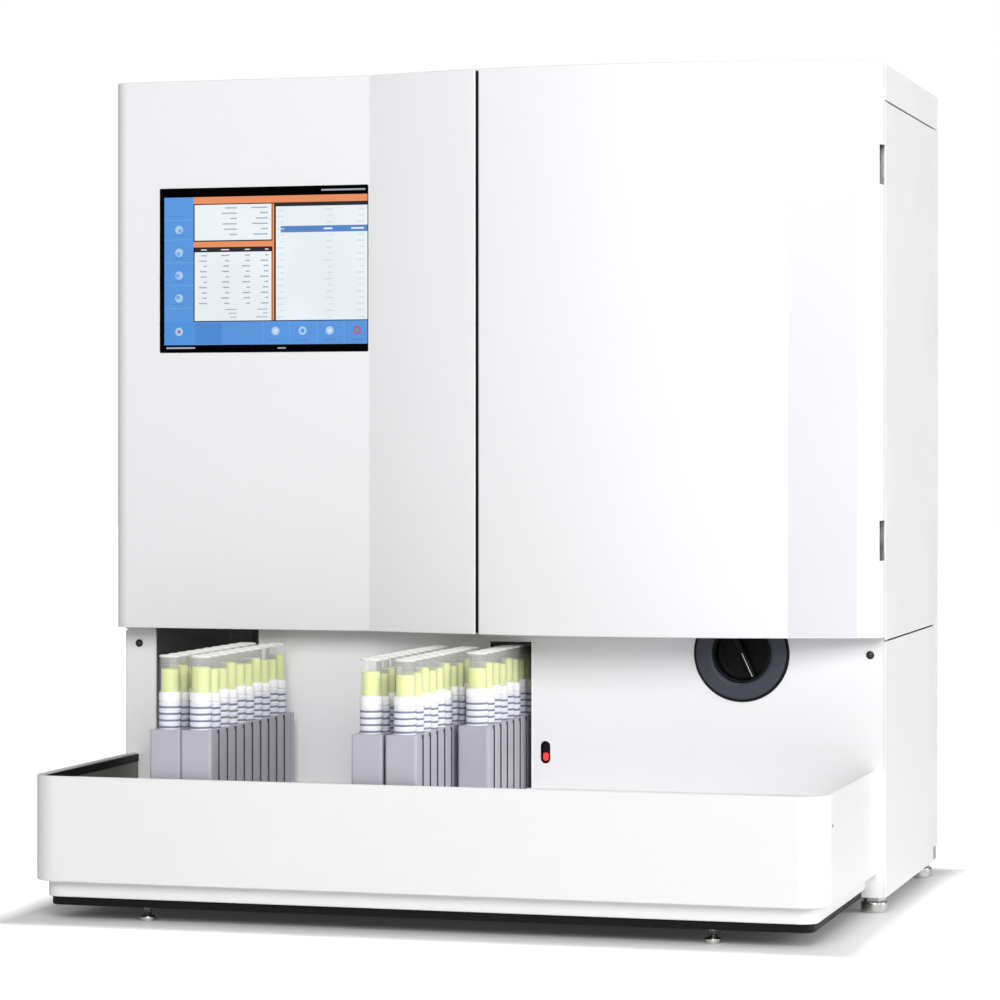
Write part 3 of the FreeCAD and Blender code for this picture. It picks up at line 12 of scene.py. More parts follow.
import bmesh
import bpy
import numpy as np
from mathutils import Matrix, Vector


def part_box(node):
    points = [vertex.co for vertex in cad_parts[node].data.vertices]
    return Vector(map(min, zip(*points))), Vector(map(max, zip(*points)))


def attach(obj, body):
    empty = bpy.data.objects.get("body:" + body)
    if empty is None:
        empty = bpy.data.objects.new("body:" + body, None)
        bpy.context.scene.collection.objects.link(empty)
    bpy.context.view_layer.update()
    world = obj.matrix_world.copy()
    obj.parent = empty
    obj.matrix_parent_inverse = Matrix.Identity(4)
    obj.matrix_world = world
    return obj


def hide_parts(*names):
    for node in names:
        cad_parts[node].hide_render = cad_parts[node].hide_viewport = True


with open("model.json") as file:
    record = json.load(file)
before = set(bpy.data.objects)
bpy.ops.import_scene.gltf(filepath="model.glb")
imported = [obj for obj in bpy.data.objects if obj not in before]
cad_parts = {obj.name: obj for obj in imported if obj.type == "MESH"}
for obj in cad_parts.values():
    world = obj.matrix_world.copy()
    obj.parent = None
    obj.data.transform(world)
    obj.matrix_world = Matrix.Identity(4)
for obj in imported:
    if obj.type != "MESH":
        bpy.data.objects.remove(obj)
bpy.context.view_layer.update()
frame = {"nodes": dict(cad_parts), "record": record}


# %% [markdown]
# ## Surfaces from arrays
# A modelled piece could be pushed together from cubes and cylinders, but their edges would be knife
# sharp. Here each piece is a grid of points worked out with numpy: one direction of the grid runs
# along a path, and the other round a profile. A surface is kept as its points and its faces, and
# several surfaces make one mesh.
# %% Grids and copies
def grid(points, close_rows=False, close_columns=True):
    """The surface over rows x columns of points: each quad joins a point to its next neighbours.
    A closed direction also joins its last point to its first."""
    rows, columns = points.shape[:2]
    r, c = np.meshgrid(np.arange(rows if close_rows else rows - 1),
                       np.arange(columns if close_columns else columns - 1), indexing="ij")
    r2, c2 = (r + 1) % rows, (c + 1) % columns
    corners = [r * columns + c, r * columns + c2, r2 * columns + c2, r2 * columns + c]
    return points.reshape(-1, 3), np.stack(corners, -1).reshape(-1, 4).tolist()


def moved(surface, offset):
    """The surface carried by one offset: every point plus the offset."""
    points, faces = surface
    return points + np.asarray(offset, float), faces


def joined(surfaces):
    """Several surfaces as one: each one's faces count on from the points before it."""
    starts = np.cumsum([0] + [len(points) for points, _ in surfaces])
    faces = [[i + start for i in face] for start, (_, own) in zip(starts, surfaces) for face in own]
    return np.concatenate([points for points, _ in surfaces]), faces


def repeated(surface, offsets):
    """The surface once at each offset, as one surface."""
    return joined([moved(surface, offset) for offset in offsets])


# %% [markdown]
# ## Paths and profiles
# Most parts of the machine are bent sheet, or turned and moulded plastic. A bent sheet is a plan
# path with rounded corners, with a section carried along it. A turned part is a profile carried
# round a circle. Real edges are never quite sharp, and the thin light that they catch is what makes
# a render look built, so every section here ends in small arcs.
# %% Plan paths
def rounded(corners, radii, steps=8):
    """A path whose corners are arcs. An arc's centre lies on the corner's bisector, at its radius over
    the sine of half the angle, and its points are centre + radius * (cos a, sin a)."""
    path = []
    corners = np.asarray(corners, float)
    for n, radius in enumerate(radii):
        here = corners[n]
        if radius == 0:
            path.append(here[None])
            continue
        back, on = corners[n - 1] - here, corners[(n + 1) % len(corners)] - here
        back, on = back / np.linalg.norm(back), on / np.linalg.norm(on)
        half = math.acos(np.clip(back @ on, -1, 1)) / 2
        middle = (back + on) / np.linalg.norm(back + on)
        centre = here + middle * radius / math.sin(half)
        first, last = (here + side * radius / math.tan(half) - centre for side in (back, on))
        start = math.atan2(first[1], first[0])
        turn = (math.atan2(last[1], last[0]) - start + math.pi) % (2 * math.pi) - math.pi
        a = start + turn * np.linspace(0, 1, steps + 1)
        path.append(centre + radius * np.stack([np.cos(a), np.sin(a)], 1))
    return np.concatenate(path)


def rectangle(x0, x1, y0, y1, radius=0, steps=4):
    """A rectangle in plan, with one radius at its corners, run round against the clock."""
    return rounded([(x0, y0), (x1, y0), (x1, y1), (x0, y1)], [radius] * 4, steps)


def outward(path, closed=True):
    """At each point of a path, the way out: its two sides' normals added, over one plus their dot
    product, so that a wall keeps its thickness round a corner."""
    side = np.roll(path, -1, 0) - path
    normal = np.stack([side[:, 1], -side[:, 0]], 1)
    normal /= np.maximum(np.linalg.norm(normal, axis=1, keepdims=True), SAME_POINT)
    if not closed:
        normal[-1] = normal[-2]
    before = np.roll(normal, 1, 0)
    if not closed:
        before[0] = normal[0]
    return (before + normal) / (1 + (before * normal).sum(1, keepdims=True))


def carried(path, section, closed=True):
    """A section of (out, up) points carried along a plan path: place = path + out * way out, up.
    On a closed path the section's two ends get flat faces. On an open one the section is a loop,
    and the path's two ends get them."""
    section = np.asarray(section, float)
    plan = path[:, None] + outward(path, closed)[:, None] * section[None, :, :1]
    level = np.broadcast_to(section[None, :, 1:], plan.shape[:2] + (1,))
    points, faces = grid(np.concatenate([plan, level], 2), close_rows=closed, close_columns=not closed)
    rows, columns = len(path), len(section)
    first = np.arange(rows) * columns if closed else np.arange(columns)
    last = first + (columns - 1 if closed else (rows - 1) * columns)
    return points, faces + [first[::-1].tolist(), last.tolist()]


def edge_arc(out, up, radius, start, stop, steps=4):
    """A small arc of a section about (out, up), from one angle to the other in degrees."""
    a = np.radians(np.linspace(start, stop, steps + 1))
    return np.stack([out + radius * np.cos(a), up + radius * np.sin(a)], 1)


def slab(path, z0, z1, edge, steps=4):
    """A plate over a plan path, from one height to another, with a quarter round on both edges."""
    low = edge_arc(-edge, z0 + edge, edge, -90, 0, steps)
    high = edge_arc(-edge, z1 - edge, edge, 0, 90, steps)
    return carried(path, np.concatenate([low, high]))


def block(x0, x1, y0, y1, z0, z1, edge=0.0003, corner=0.0003):
    """A moulded block with softened edges and corners."""
    return slab(rectangle(x0, x1, y0, y1, corner, 2), z0, z1, edge, 2)


def turned(profile, centre, axis="z", sides=48, loop=False):
    """(radius, height) points turned about an axis: radius * cos t and radius * sin t across it,
    and the height along it. A loop profile closes on itself, as a ring's does."""
    t = np.linspace(0, 2 * math.pi, sides, endpoint=False)
    radius, height = np.asarray(profile, float).T
    u, v = radius[:, None] * np.cos(t), radius[:, None] * np.sin(t)
    along = np.broadcast_to(height[:, None], u.shape)
    order = {"x": (along, u, v), "y": (u, along, v), "z": (u, v, along)}[axis]
    points, faces = grid(np.stack(order, -1), close_rows=loop)
    return points + np.asarray(centre, float), faces


def facing_front(surface):
    """A surface made in plan and stood up: its (x, y, z) becomes (x, z, y), so height runs along Y."""
    points, faces = surface
    return points[:, [0, 2, 1]], faces


SAME_POINT = 1e-7


# %% [markdown]
# ## From surfaces to pieces
# A mesh from grids has doubled points at its seams and poles, and its faces may turn either way. So
# each piece is merged and its normals are worked out again. A weighted-normal modifier then lets
# the broad flat faces keep their own shading, and only the small arcs at the edges look round.
# %% Making a piece
MERGE_DISTANCE = 2e-6
SHARP_ANGLE = math.radians(38)
EVEN_SHADING = 50


def clean(mesh):
    """Doubled points become one, faces turn outwards, and edges past the sharp angle stay sharp."""
    work = bmesh.new()
    work.from_mesh(mesh)
    bmesh.ops.remove_doubles(work, verts=work.verts, dist=MERGE_DISTANCE)
    bmesh.ops.dissolve_degenerate(work, edges=work.edges, dist=MERGE_DISTANCE)
    bmesh.ops.recalc_face_normals(work, faces=work.faces)
    work.to_mesh(mesh)
    work.free()
    mesh.shade_smooth()
    mesh.set_sharp_from_angle(angle=SHARP_ANGLE)


def new_object(name, surfaces):
    """An object at the origin, with the surfaces' places in its mesh."""
    points, faces = joined(surfaces)
    mesh = bpy.data.meshes.new(name)
    mesh.from_pydata(points.tolist(), [], faces)
    clean(mesh)
    made = bpy.data.objects.new(name, mesh)
    bpy.context.scene.collection.objects.link(made)
    return made


def cut(target, surfaces):
    """The solids of the surfaces taken out of an object, with the result kept as its own mesh."""
    knife = new_object("cutter", surfaces)
    step = target.modifiers.new("cut", "BOOLEAN")
    step.operation, step.solver, step.object = "DIFFERENCE", "EXACT", knife
    bpy.context.view_layer.update()
    graph = bpy.context.evaluated_depsgraph_get()
    carved = bpy.data.meshes.new_from_object(target.evaluated_get(graph), depsgraph=graph)
    target.modifiers.clear()
    target.data = carved
    bpy.data.objects.remove(knife)
    clean(carved)


def piece(name, surfaces, finish, body="root", slot=None, replaces=(), without=()):
    """A finished piece that rides on a body of the frame. Its slot argument is not used."""
    made = new_object(name, surfaces)
    if without:
        cut(made, without)
    made.data.materials.append(finishes[finish])
    shading = made.modifiers.new("even_shading", "WEIGHTED_NORMAL")
    shading.keep_sharp = True
    shading.weight = EVEN_SHADING
    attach(made, body)
    slot or finish
    if replaces:
        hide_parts(*replaces)
    print(name, len(made.data.polygons), "faces")
    return made


# %% [markdown]
# ## Shared effects
# Paint, plastic and metal all break up light a little: paint has a faint orange peel, moulded
# plastic a grain, and steel a brushed direction. An image could hold this, but a noise texture gives
# it at any scale and with no seam. It is kept in node groups, so that each material uses the same
# build at its own scale. The groups put out plain values, and the shader stays in the material.
# %% Node groups
NOISE_LOW, NOISE_HIGH = 0.25, 0.75


def value_group(name, detail, stretch):
    """A group that maps noise over the object's own coordinates from its usual range to Low..High."""
    group = bpy.data.node_groups.new(name, "ShaderNodeTree")
    for label, default in (("Scale", 10.0), ("Low", 0.0), ("High", 1.0)):
        socket = group.interface.new_socket(label, in_out="INPUT", socket_type="NodeSocketFloat")
        socket.default_value = default
    group.interface.new_socket("Value", in_out="OUTPUT", socket_type="NodeSocketFloat")
    enter = group.nodes.new("NodeGroupInput")
    leave = group.nodes.new("NodeGroupOutput")
    place = group.nodes.new("ShaderNodeTexCoord")
    mapping = group.nodes.new("ShaderNodeMapping")
    mapping.inputs["Scale"].default_value = stretch
    noise = group.nodes.new("ShaderNodeTexNoise")
    noise.inputs["Detail"].default_value = detail
    spread = group.nodes.new("ShaderNodeMapRange")
    spread.interpolation_type = "SMOOTHSTEP"
    spread.inputs["From Min"].default_value = NOISE_LOW
    spread.inputs["From Max"].default_value = NOISE_HIGH
    link = group.links.new
    link(place.outputs["Object"], mapping.inputs["Vector"])
    link(mapping.outputs["Vector"], noise.inputs["Vector"])
    link(enter.outputs["Scale"], noise.inputs["Scale"])
    link(noise.outputs["Fac"], spread.inputs["Value"])
    link(enter.outputs["Low"], spread.inputs["To Min"])
    link(enter.outputs["High"], spread.inputs["To Max"])
    link(spread.outputs["Result"], leave.inputs["Value"])
    return group


cloud = value_group("soft_cloud", 2.0, (1, 1, 1))
grain = value_group("fine_grain", 3.0, (1, 1, 1))
brushed = value_group("brushed_lines", 3.0, (1, 1, 0.04))


# %% [markdown]
# ## Finishes
# Each slot of the record gets one material. A finish starts as a Principled shader with its
# constants on the shader's own sockets. Two groups then drive what varies: a slow cloud for the
# tone and the gloss, as wiping and handling leave it, and a fine grain for the relief.
# %% Building a finish
CLOUD_STEP = 2.7


def group_in(material, group, scale, low, high):
    """One of the shared groups placed in a material, with its own scale and range."""
    node = material.node_tree.nodes.new("ShaderNodeGroup")
    node.node_tree = group
    for label, value in (("Scale", scale), ("Low", low), ("High", high)):
        node.inputs[label].default_value = value
    return node.outputs["Value"]


def finish(name, colour, roughness, tone=0.02, gloss=0.04, cloud_scale=6.0,
           relief=0.0, grain_scale=1500.0, pattern=None, **sockets):
    """A finish whose tone and gloss drift slowly over the surface, with a fine relief. tone is the
    share by which the colour darkens, gloss the spread of the roughness, relief the grain's depth."""
    material = bpy.data.materials.new(name)
    material.use_nodes = True
    tree = material.node_tree
    shader = tree.nodes["Principled BSDF"]
    for label, value in sockets.items():
        shader.inputs[label.replace("_", " ")].default_value = value
    mix = tree.nodes.new("ShaderNodeMix")
    mix.data_type = "RGBA"
    mix.inputs["A"].default_value = (*colour, 1)
    mix.inputs["B"].default_value = (*(c * (1 - tone) for c in colour), 1)
    tree.links.new(group_in(material, cloud, cloud_scale, 0.0, 1.0), mix.inputs["Factor"])
    tree.links.new(mix.outputs["Result"], shader.inputs["Base Color"])
    uneven = group_in(material, cloud, cloud_scale * CLOUD_STEP, roughness - gloss, roughness + gloss)
    tree.links.new(uneven, shader.inputs["Roughness"])
    if relief:
        bump = tree.nodes.new("ShaderNodeBump")
        bump.inputs["Distance"].default_value = relief
        height = group_in(material, pattern or grain, grain_scale, 0.0, 1.0)
        tree.links.new(height, bump.inputs["Height"])
        tree.links.new(bump.outputs["Normal"], shader.inputs["Normal"])
    return material


# %% [markdown]
# The cabinet, its doors and the tray are powder-coated steel: a soft white with a satin coat and a
# faint orange peel. The doors and the tray are smoother than the cabinet's sides, as moulded or
# sprayed panels are. All the whites are a little under full white, or no light could model them.
# %% Painted finishes
HAIR = 1e-5
SATIN = {"Coat_Weight": 0.15, "Coat_Roughness": 0.25}
finishes = {
    "cabinet_paint": finish("cabinet_paint", (0.85, 0.84, 0.85), 0.42, tone=0.012, relief=HAIR,
                            grain_scale=900.0, Coat_Weight=0.15, Coat_Roughness=0.3),
    # The lower front panel's paint is the cabinet paint made brighter: painted light on a panel that the
    # doors shade.
    "lit_panel_paint": finish("lit_panel_paint", (0.91, 0.91, 0.925), 0.45, tone=0.012, relief=HAIR,
                          grain_scale=900.0, Coat_Weight=0.1, Coat_Roughness=0.3),
    "door_paint": finish("door_paint", (0.86, 0.85, 0.87), 0.34, tone=0.008, gloss=0.02,
                         relief=HAIR / 2, grain_scale=500.0, **SATIN),
    "tray_paint": finish("tray_paint", (0.86, 0.85, 0.85), 0.34, tone=0.008, gloss=0.02,
                         relief=HAIR / 2, grain_scale=500.0, **SATIN),
    "stripe_film": finish("stripe_film", (0.73, 0.72, 0.76), 0.3, tone=0.01, gloss=0.02, **SATIN),
}

# %% [markdown]
# The frame and brackets are zinc-plated: grey, with the patchy bloom of zinc, so their cloud is
# small and strong. The feet are turned steel, brushed in one direction.
# %% Metal finishes
finishes |= {
    "galvanised": finish("galvanised", (0.62, 0.63, 0.64), 0.36, tone=0.2, gloss=0.1, cloud_scale=60.0,
                         relief=HAIR, Metallic=1.0),
    "foot_steel": finish("foot_steel", (0.68, 0.67, 0.65), 0.2, tone=0.15, gloss=0.06, cloud_scale=90.0,
                         relief=HAIR, pattern=brushed, Metallic=1.0),
    "dark_steel": finish("dark_steel", (0.05, 0.048, 0.046), 0.35, tone=0.2, cloud_scale=90.0,
                         relief=HAIR, Metallic=0.8),
}

# %% [markdown]
# The moulded parts differ in colour and grain: black trim, an olive-black liner in the tray, slate
# for the strip port, and lavender-grey for the racks. Board, bottles, rollers and glass follow.
# Glass and liquid let light through, so they keep a plain transmission and almost no relief.
# %% Plastic and glass finishes
finishes |= {
    "black_trim": finish("black_trim", (0.006, 0.006, 0.007), 0.5, tone=0.2, relief=2 * HAIR,
                         Specular_IOR_Level=0.16),
    "dark_liner": finish("dark_liner", (0.15, 0.145, 0.12), 0.4, tone=0.2, relief=3 * HAIR,
                         grain_scale=700.0),
    "deck_plastic": finish("deck_plastic", (0.78, 0.77, 0.78), 0.4, tone=0.04, relief=2 * HAIR),
    "rack_plastic": finish("rack_plastic", (0.48, 0.47, 0.535), 0.42, tone=0.05, cloud_scale=30.0,
                           relief=2 * HAIR),
    "slate_plastic": finish("slate_plastic", (0.05, 0.057, 0.075), 0.38, tone=0.12, relief=2 * HAIR,
                            grain_scale=1100.0, Specular_IOR_Level=0.35),
    "grey_plastic": finish("grey_plastic", (0.5, 0.51, 0.53), 0.45, tone=0.06, relief=2 * HAIR),
    "roller_plastic": finish("roller_plastic", (0.8, 0.79, 0.75), 0.3, tone=0.05, relief=HAIR),
    "board_green": finish("board_green", (0.03, 0.16, 0.07), 0.35, tone=0.3, cloud_scale=160.0,
                          relief=HAIR),
    "bottle_plastic": finish("bottle_plastic", (0.85, 0.86, 0.84), 0.35, tone=0.04, relief=HAIR,
                             Transmission_Weight=0.35),
    "screen_glass": finish("screen_glass", (0.004, 0.004, 0.005), 0.16, tone=0.2, gloss=0.03,
                           Specular_IOR_Level=0.12),
    "tube_glass": finish("tube_glass", (0.96, 0.98, 0.95), 0.05, tone=0.02, gloss=0.02, Alpha=0.11),
    "sample": finish("sample", (0.9, 0.97, 0.38), 0.08, tone=0.15, gloss=0.03, cloud_scale=40.0,
                     Subsurface_Weight=0.3, Subsurface_Scale=0.01),
    "label_paper": finish("label_paper", (0.85, 0.85, 0.93), 0.5, tone=0.03, cloud_scale=80.0),
    "label_band": finish("label_band", (0.24, 0.25, 0.35), 0.5, tone=0.2, cloud_scale=200.0),
    "tube_collar": finish("tube_collar", (0.97, 0.97, 0.98), 0.35, tone=0.01),
    # The rims are near-opaque white where the glass is clear: a painted highlight on the tubes' mouths.
    "tube_rim_highlight": finish("tube_rim_highlight", (0.97, 0.98, 0.97), 0.06, tone=0.05, gloss=0.02, Alpha=0.65),
    "power_glow": finish("power_glow", (0.8, 0.02, 0.02), 0.25, tone=0.1, Emission_Strength=1.6,
                         Emission_Color=(1.0, 0.03, 0.03, 1)),
}
for entry in frame["record"]["subparts"]:
    mesh = frame["nodes"][entry["node"]].data
    mesh.materials.clear()
    mesh.materials.append(finishes[entry["material_slot"]])
# The hinges and the lanes stand in shade, so these nodes get a near-black finish in place of zinc: painted
# shade.
for name in ("lane_decks", "left_hinge_leaves", "right_hinge_leaves", "hinge_brackets"):
    frame["nodes"][name].data.materials.clear()
    frame["nodes"][name].data.materials.append(finishes["dark_steel"])


# %% [markdown]
# ## Room, camera and light
# A product photograph stands its subject on a white floor before a white wall, with a broad soft
# light from the right front and a weaker one all round. The camera stands where the photographer's
# did, 2.8 m away with a long lens, level and turned 16 degrees to the left. The machine sits low in
# the picture, which a shift of the lens gives without tilting the uprights.
# %% Camera
CAMERA_PLACE = (0.7521, -2.6812, 0.3616)
CAMERA_TURN = math.radians(15.73)
CAMERA_LENS = 124.3
CAMERA_SHIFT = -0.0535

camera_data = bpy.data.cameras.new("camera")
camera_data.lens = CAMERA_LENS
camera_data.shift_y = CAMERA_SHIFT
camera = bpy.data.objects.new("camera", camera_data)
camera.location = CAMERA_PLACE
camera.rotation_euler = (math.radians(90), 0, CAMERA_TURN)
bpy.context.scene.collection.objects.link(camera)
bpy.context.scene.camera = camera
print("camera at", CAMERA_PLACE, "with a lens of", CAMERA_LENS)

# %% [markdown]
# The wall is the world itself: plain white to the camera, but dimmer as a light, so that the white
# machine keeps its shading. A Light Path node tells the two apart. The floor gets the same help: away
# from the machine it glows to the camera alone, so it meets the wall with no line, as a studio's
# curved sweep does. Under the machine it glows only a little, and keeps the machine's shadow.
# %% Floor and world
FLOOR_HALF = 12.0
WALL_STRENGTH = 1.0
SKY_STRENGTH = 0.3
MACHINE_HALF = (0.33, 0.262, 1.0)
GLOW_NEAR, GLOW_FAR = 0.98, 1.12
SHADOW_LIFT = 0.03

finishes["floor"] = finish("floor", (0.93, 0.93, 0.93), 0.6, tone=0.005)


def new_nodes(tree, *kinds):
    """A new node of each kind, in order."""
    return [tree.nodes.new("ShaderNode" + kind) for kind in kinds]


def floor_glow(tree):
    """The glow to the camera, by max(|x| / half the machine's width, |y| / half its depth)."""
    shader = tree.nodes["Principled BSDF"]
    shader.inputs["Emission Color"].default_value = (1, 1, 1, 1)
    seen, place, share, size = new_nodes(tree, "LightPath", "TexCoord", "VectorMath", "VectorMath")
    parts, farther, away, glow = new_nodes(tree, "SeparateXYZ", "Math", "MapRange", "Math")
    share.operation, size.operation = "DIVIDE", "ABSOLUTE"
    share.inputs[1].default_value = MACHINE_HALF
    farther.operation, glow.operation = "MAXIMUM", "MULTIPLY"
    for label, value in (("From Min", GLOW_NEAR), ("From Max", GLOW_FAR), ("To Min", SHADOW_LIFT)):
        away.inputs[label].default_value = value
    for start, end in ((place.outputs["Object"], share.inputs[0]),
                       (share.outputs[0], size.inputs[0]),
                       (size.outputs[0], parts.inputs[0]),
                       (parts.outputs["X"], farther.inputs[0]),
                       (parts.outputs["Y"], farther.inputs[1]),
                       (farther.outputs[0], away.inputs["Value"]),
                       (away.outputs["Result"], glow.inputs[0]),
                       (seen.outputs["Is Camera Ray"], glow.inputs[1]),
                       (glow.outputs[0], shader.inputs["Emission Strength"])):
        tree.links.new(start, end)


floor_glow(finishes["floor"].node_tree)
floor_mesh = bpy.data.meshes.new("floor")
floor_mesh.from_pydata([(-FLOOR_HALF, -FLOOR_HALF, 0), (FLOOR_HALF, -FLOOR_HALF, 0),
                        (FLOOR_HALF, FLOOR_HALF, 0), (-FLOOR_HALF, FLOOR_HALF, 0)], [], [(0, 1, 2, 3)])
floor_mesh.materials.append(finishes["floor"])
floor = bpy.data.objects.new("floor", floor_mesh)
bpy.context.scene.collection.objects.link(floor)

world = bpy.data.worlds.new("studio")
world.use_nodes = True
background = world.node_tree.nodes["Background"]
background.inputs["Color"].default_value = (1, 1, 1, 1)
seen = world.node_tree.nodes.new("ShaderNodeLightPath")
level = world.node_tree.nodes.new("ShaderNodeMapRange")
level.inputs["To Min"].default_value = SKY_STRENGTH
level.inputs["To Max"].default_value = WALL_STRENGTH
world.node_tree.links.new(seen.outputs["Is Camera Ray"], level.inputs["Value"])
world.node_tree.links.new(level.outputs["Result"], background.inputs["Strength"])
bpy.context.scene.world = world
bpy.context.scene.view_settings.view_transform = "Standard"


# %% [markdown]
# Three softboxes do the rest. The strongest stands before the machine, a little to its right and
# high, and lights the doors and the tray. A larger and weaker one stands farther round to the right.
# The face past the crease turns away from both, so it is a little darker. The third stands at the
# right side and keeps that side nearly as bright as the front.
# %% Softboxes
MACHINE_MIDDLE = np.array((0, 0, 0.33))


def softbox(name, place, size, power):
    """A square lamp at a place, turned to face the machine's middle."""
    lamp = bpy.data.lights.new(name, "AREA")
    lamp.shape, lamp.size, lamp.energy = "SQUARE", size, power
    made = bpy.data.objects.new(name, lamp)
    x, y, z = (MACHINE_MIDDLE - place) / np.linalg.norm(MACHINE_MIDDLE - place)
    made.location = place
    made.rotation_euler = (math.acos(-z), 0, math.atan2(y, x) - math.radians(90))
    bpy.context.scene.collection.objects.link(made)
    print(name, "at", place, "of", power, "W")


softbox("front_light", (0.8, -2.9, 1.7), 1.5, 60)
softbox("key_light", (2.7, -2.2, 1.2), 1.8, 20)
softbox("side_light", (3.4, 0.2, 1.0), 1.6, 50)

# %% [markdown]
# ## The doors
# The left door is flat as far as a crease, and then swells forward in one arc that the right door
# carries on to its rounded outer corner. The real doors are pans of sheet steel, folded back round
# every edge, so each is one slab here: a plan path with the arc in it, raised through the door's
# height. The folds show as a small round at the top and bottom and a larger one at the gap. At the
# hinges the side is cut away, as the frame's door skin is.
# %% Door paths
left_low, left_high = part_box("left_door_skin")
right_low, right_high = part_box("right_door_skin")
flat_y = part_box("display_glass")[0].y
CREASE_X = -0.096
PEAK_X = 0.096
DOOR_CORNER = 0.012
DOOR_SHEET = 0.002
DOOR_EDGE = 0.0009
DOOR_BACK = -0.0366
GAP_ROUND = 0.0016
CREASE_ROUND = 0.004
bulge = flat_y - right_low.y
bulge_radius = ((PEAK_X - CREASE_X) ** 2 + bulge ** 2) / (2 * bulge)


def bulge_y(x):
    """The front of the swell: a circle whose nearest point is the peak, radius - sqrt(r2 - d2) back."""
    return right_low.y + bulge_radius - np.sqrt(bulge_radius ** 2 - (x - PEAK_X) ** 2)


def swell(x0, x1, steps):
    """Points of the swell between two places, evenly spaced across the machine."""
    x = np.linspace(x0, x1, steps)
    return np.stack([x, bulge_y(x)], 1)


def left_door_path():
    front = swell(CREASE_X, left_high.x, 14)
    ends = [(left_high.x, DOOR_BACK), (left_low.x + DOOR_SHEET, DOOR_BACK),
            (left_low.x + DOOR_SHEET, left_high.y)]
    corners = np.concatenate([[(left_low.x, left_high.y), (left_low.x, flat_y)], front, ends])
    radii = [0, DOOR_CORNER, CREASE_ROUND] + [0] * (len(front) - 2) + [GAP_ROUND, 0, 0, 0]
    return rounded(corners, radii)


def right_door_path():
    front = swell(right_low.x, right_high.x - DOOR_CORNER, 44)
    corner = (right_high.x, bulge_y(right_high.x))
    ends = [corner, (right_high.x, right_high.y), (right_high.x - DOOR_SHEET, right_high.y),
            (right_high.x - DOOR_SHEET, DOOR_BACK), (right_low.x, DOOR_BACK)]
    corners = np.concatenate([front, ends])
    radii = [GAP_ROUND] + [0] * (len(front) - 1) + [DOOR_CORNER, 0, 0, 0, 0]
    return rounded(corners, radii)


# %% Door panels
HINGE_NOTCH = 0.031
NOTCH_FRONT = -0.044
NOTCH_IN = 0.0115
OVER = 0.004
leaf_low, leaf_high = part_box("right_hinge_leaves")
notch_spare = 0.0003
hinge_bottoms = (leaf_low.z - notch_spare, leaf_high.z + notch_spare - HINGE_NOTCH)


def hinge_notches(side):
    """The two cut-outs in a door's side: blocks from inside the skin to past its side and back."""
    x = sorted((side * (right_high.x - NOTCH_IN), side * (right_high.x + OVER)))
    return [block(*x, NOTCH_FRONT, left_high.y + OVER, z, z + HINGE_NOTCH, corner=0) for z in hinge_bottoms]


for name, side, path in (("left", -1, left_door_path()), ("right", 1, right_door_path())):
    skin = slab(path, left_low.z, left_high.z, DOOR_EDGE)
    piece(name + "_door_panel", [skin], "door_paint", name + "_door",
          replaces=[name + "_door_skin"], without=hinge_notches(side))

# %% [markdown]
# Between the doors a black line shows, wider than a bare gap would look. A black bar on the left
# door's edge, set a little behind the front, paints that gap's shade. It is a slim bar with round
# edges, and it stays clear of the right door when either one swings.
# %% The painted shade between the doors
GAP_SHADE_SHY, GAP_SHADE_CLEAR, GAP_SHADE_MARGIN, GAP_SHADE_ROUND = 0.0014, 0.0004, 0.0015, 0.0004
gap_shade_plan = rectangle(left_high.x - GAP_SHADE_SHY, right_low.x - GAP_SHADE_CLEAR, bulge_y(0) + GAP_SHADE_SHY, DOOR_BACK,
                      GAP_SHADE_ROUND)
gap_shade = slab(gap_shade_plan, left_low.z + GAP_SHADE_MARGIN, left_high.z - GAP_SHADE_MARGIN, GAP_SHADE_ROUND, 2)
# The black bar is painted shade in the gap between the doors.
piece("door_gap_shade", [gap_shade], "black_trim", "left_door")

# %% [markdown]
# A pale lavender band runs down the right door near its outer edge. The real one carries printing,
# which is left off. It is a film a tenth of a millimetre proud of the paint, so its outline is the
# same arc as the door's, drawn out by that much.
# %% The band on the right door
BAND_X = (0.2457, 0.2968)
FILM_PROUD = 0.00012
FILM_DEEP = 0.0004
FILM_MARGIN = 0.0012

centre = np.array((PEAK_X, right_low.y + bulge_radius))
band = swell(*BAND_X, 12)
away = (band - centre) / bulge_radius
film_path = np.concatenate([band + away * FILM_PROUD, (band - away * FILM_DEEP)[::-1]])
film = slab(film_path, right_low.z + FILM_MARGIN, right_high.z - FILM_MARGIN, 0)
piece("door_band", [film], "stripe_film", "right_door", slot="door_paint")

# %% [markdown]
# ## The touch screen
# A flat panel with a black glass front sits in the left door beside the crease. Its picture is only
# plain fields, bars and dots, laid out as such a machine's control page is: a column of large
# buttons, lists in the middle and at the right, and a row of buttons below. Each field is a flat
# rectangle a hair above the last, and its colour is kept as an attribute of the mesh, which one
# lit material reads. That keeps every colour crisp at any distance, as an image would not.
# %% Screen glass
glass_low, glass_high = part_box("display_glass")
GLASS_PROUD = 0.0004
GLASS_EDGE = 0.0004
GLASS_CORNER = 0.0012

plan = rectangle(glass_low.x, glass_high.x, glass_low.z, glass_high.z, GLASS_CORNER)
glass = facing_front(slab(plan, glass_low.y - GLASS_PROUD, glass_high.y, GLASS_EDGE))
piece("screen_glass", [glass], "screen_glass", "left_door", replaces=["display_glass"])

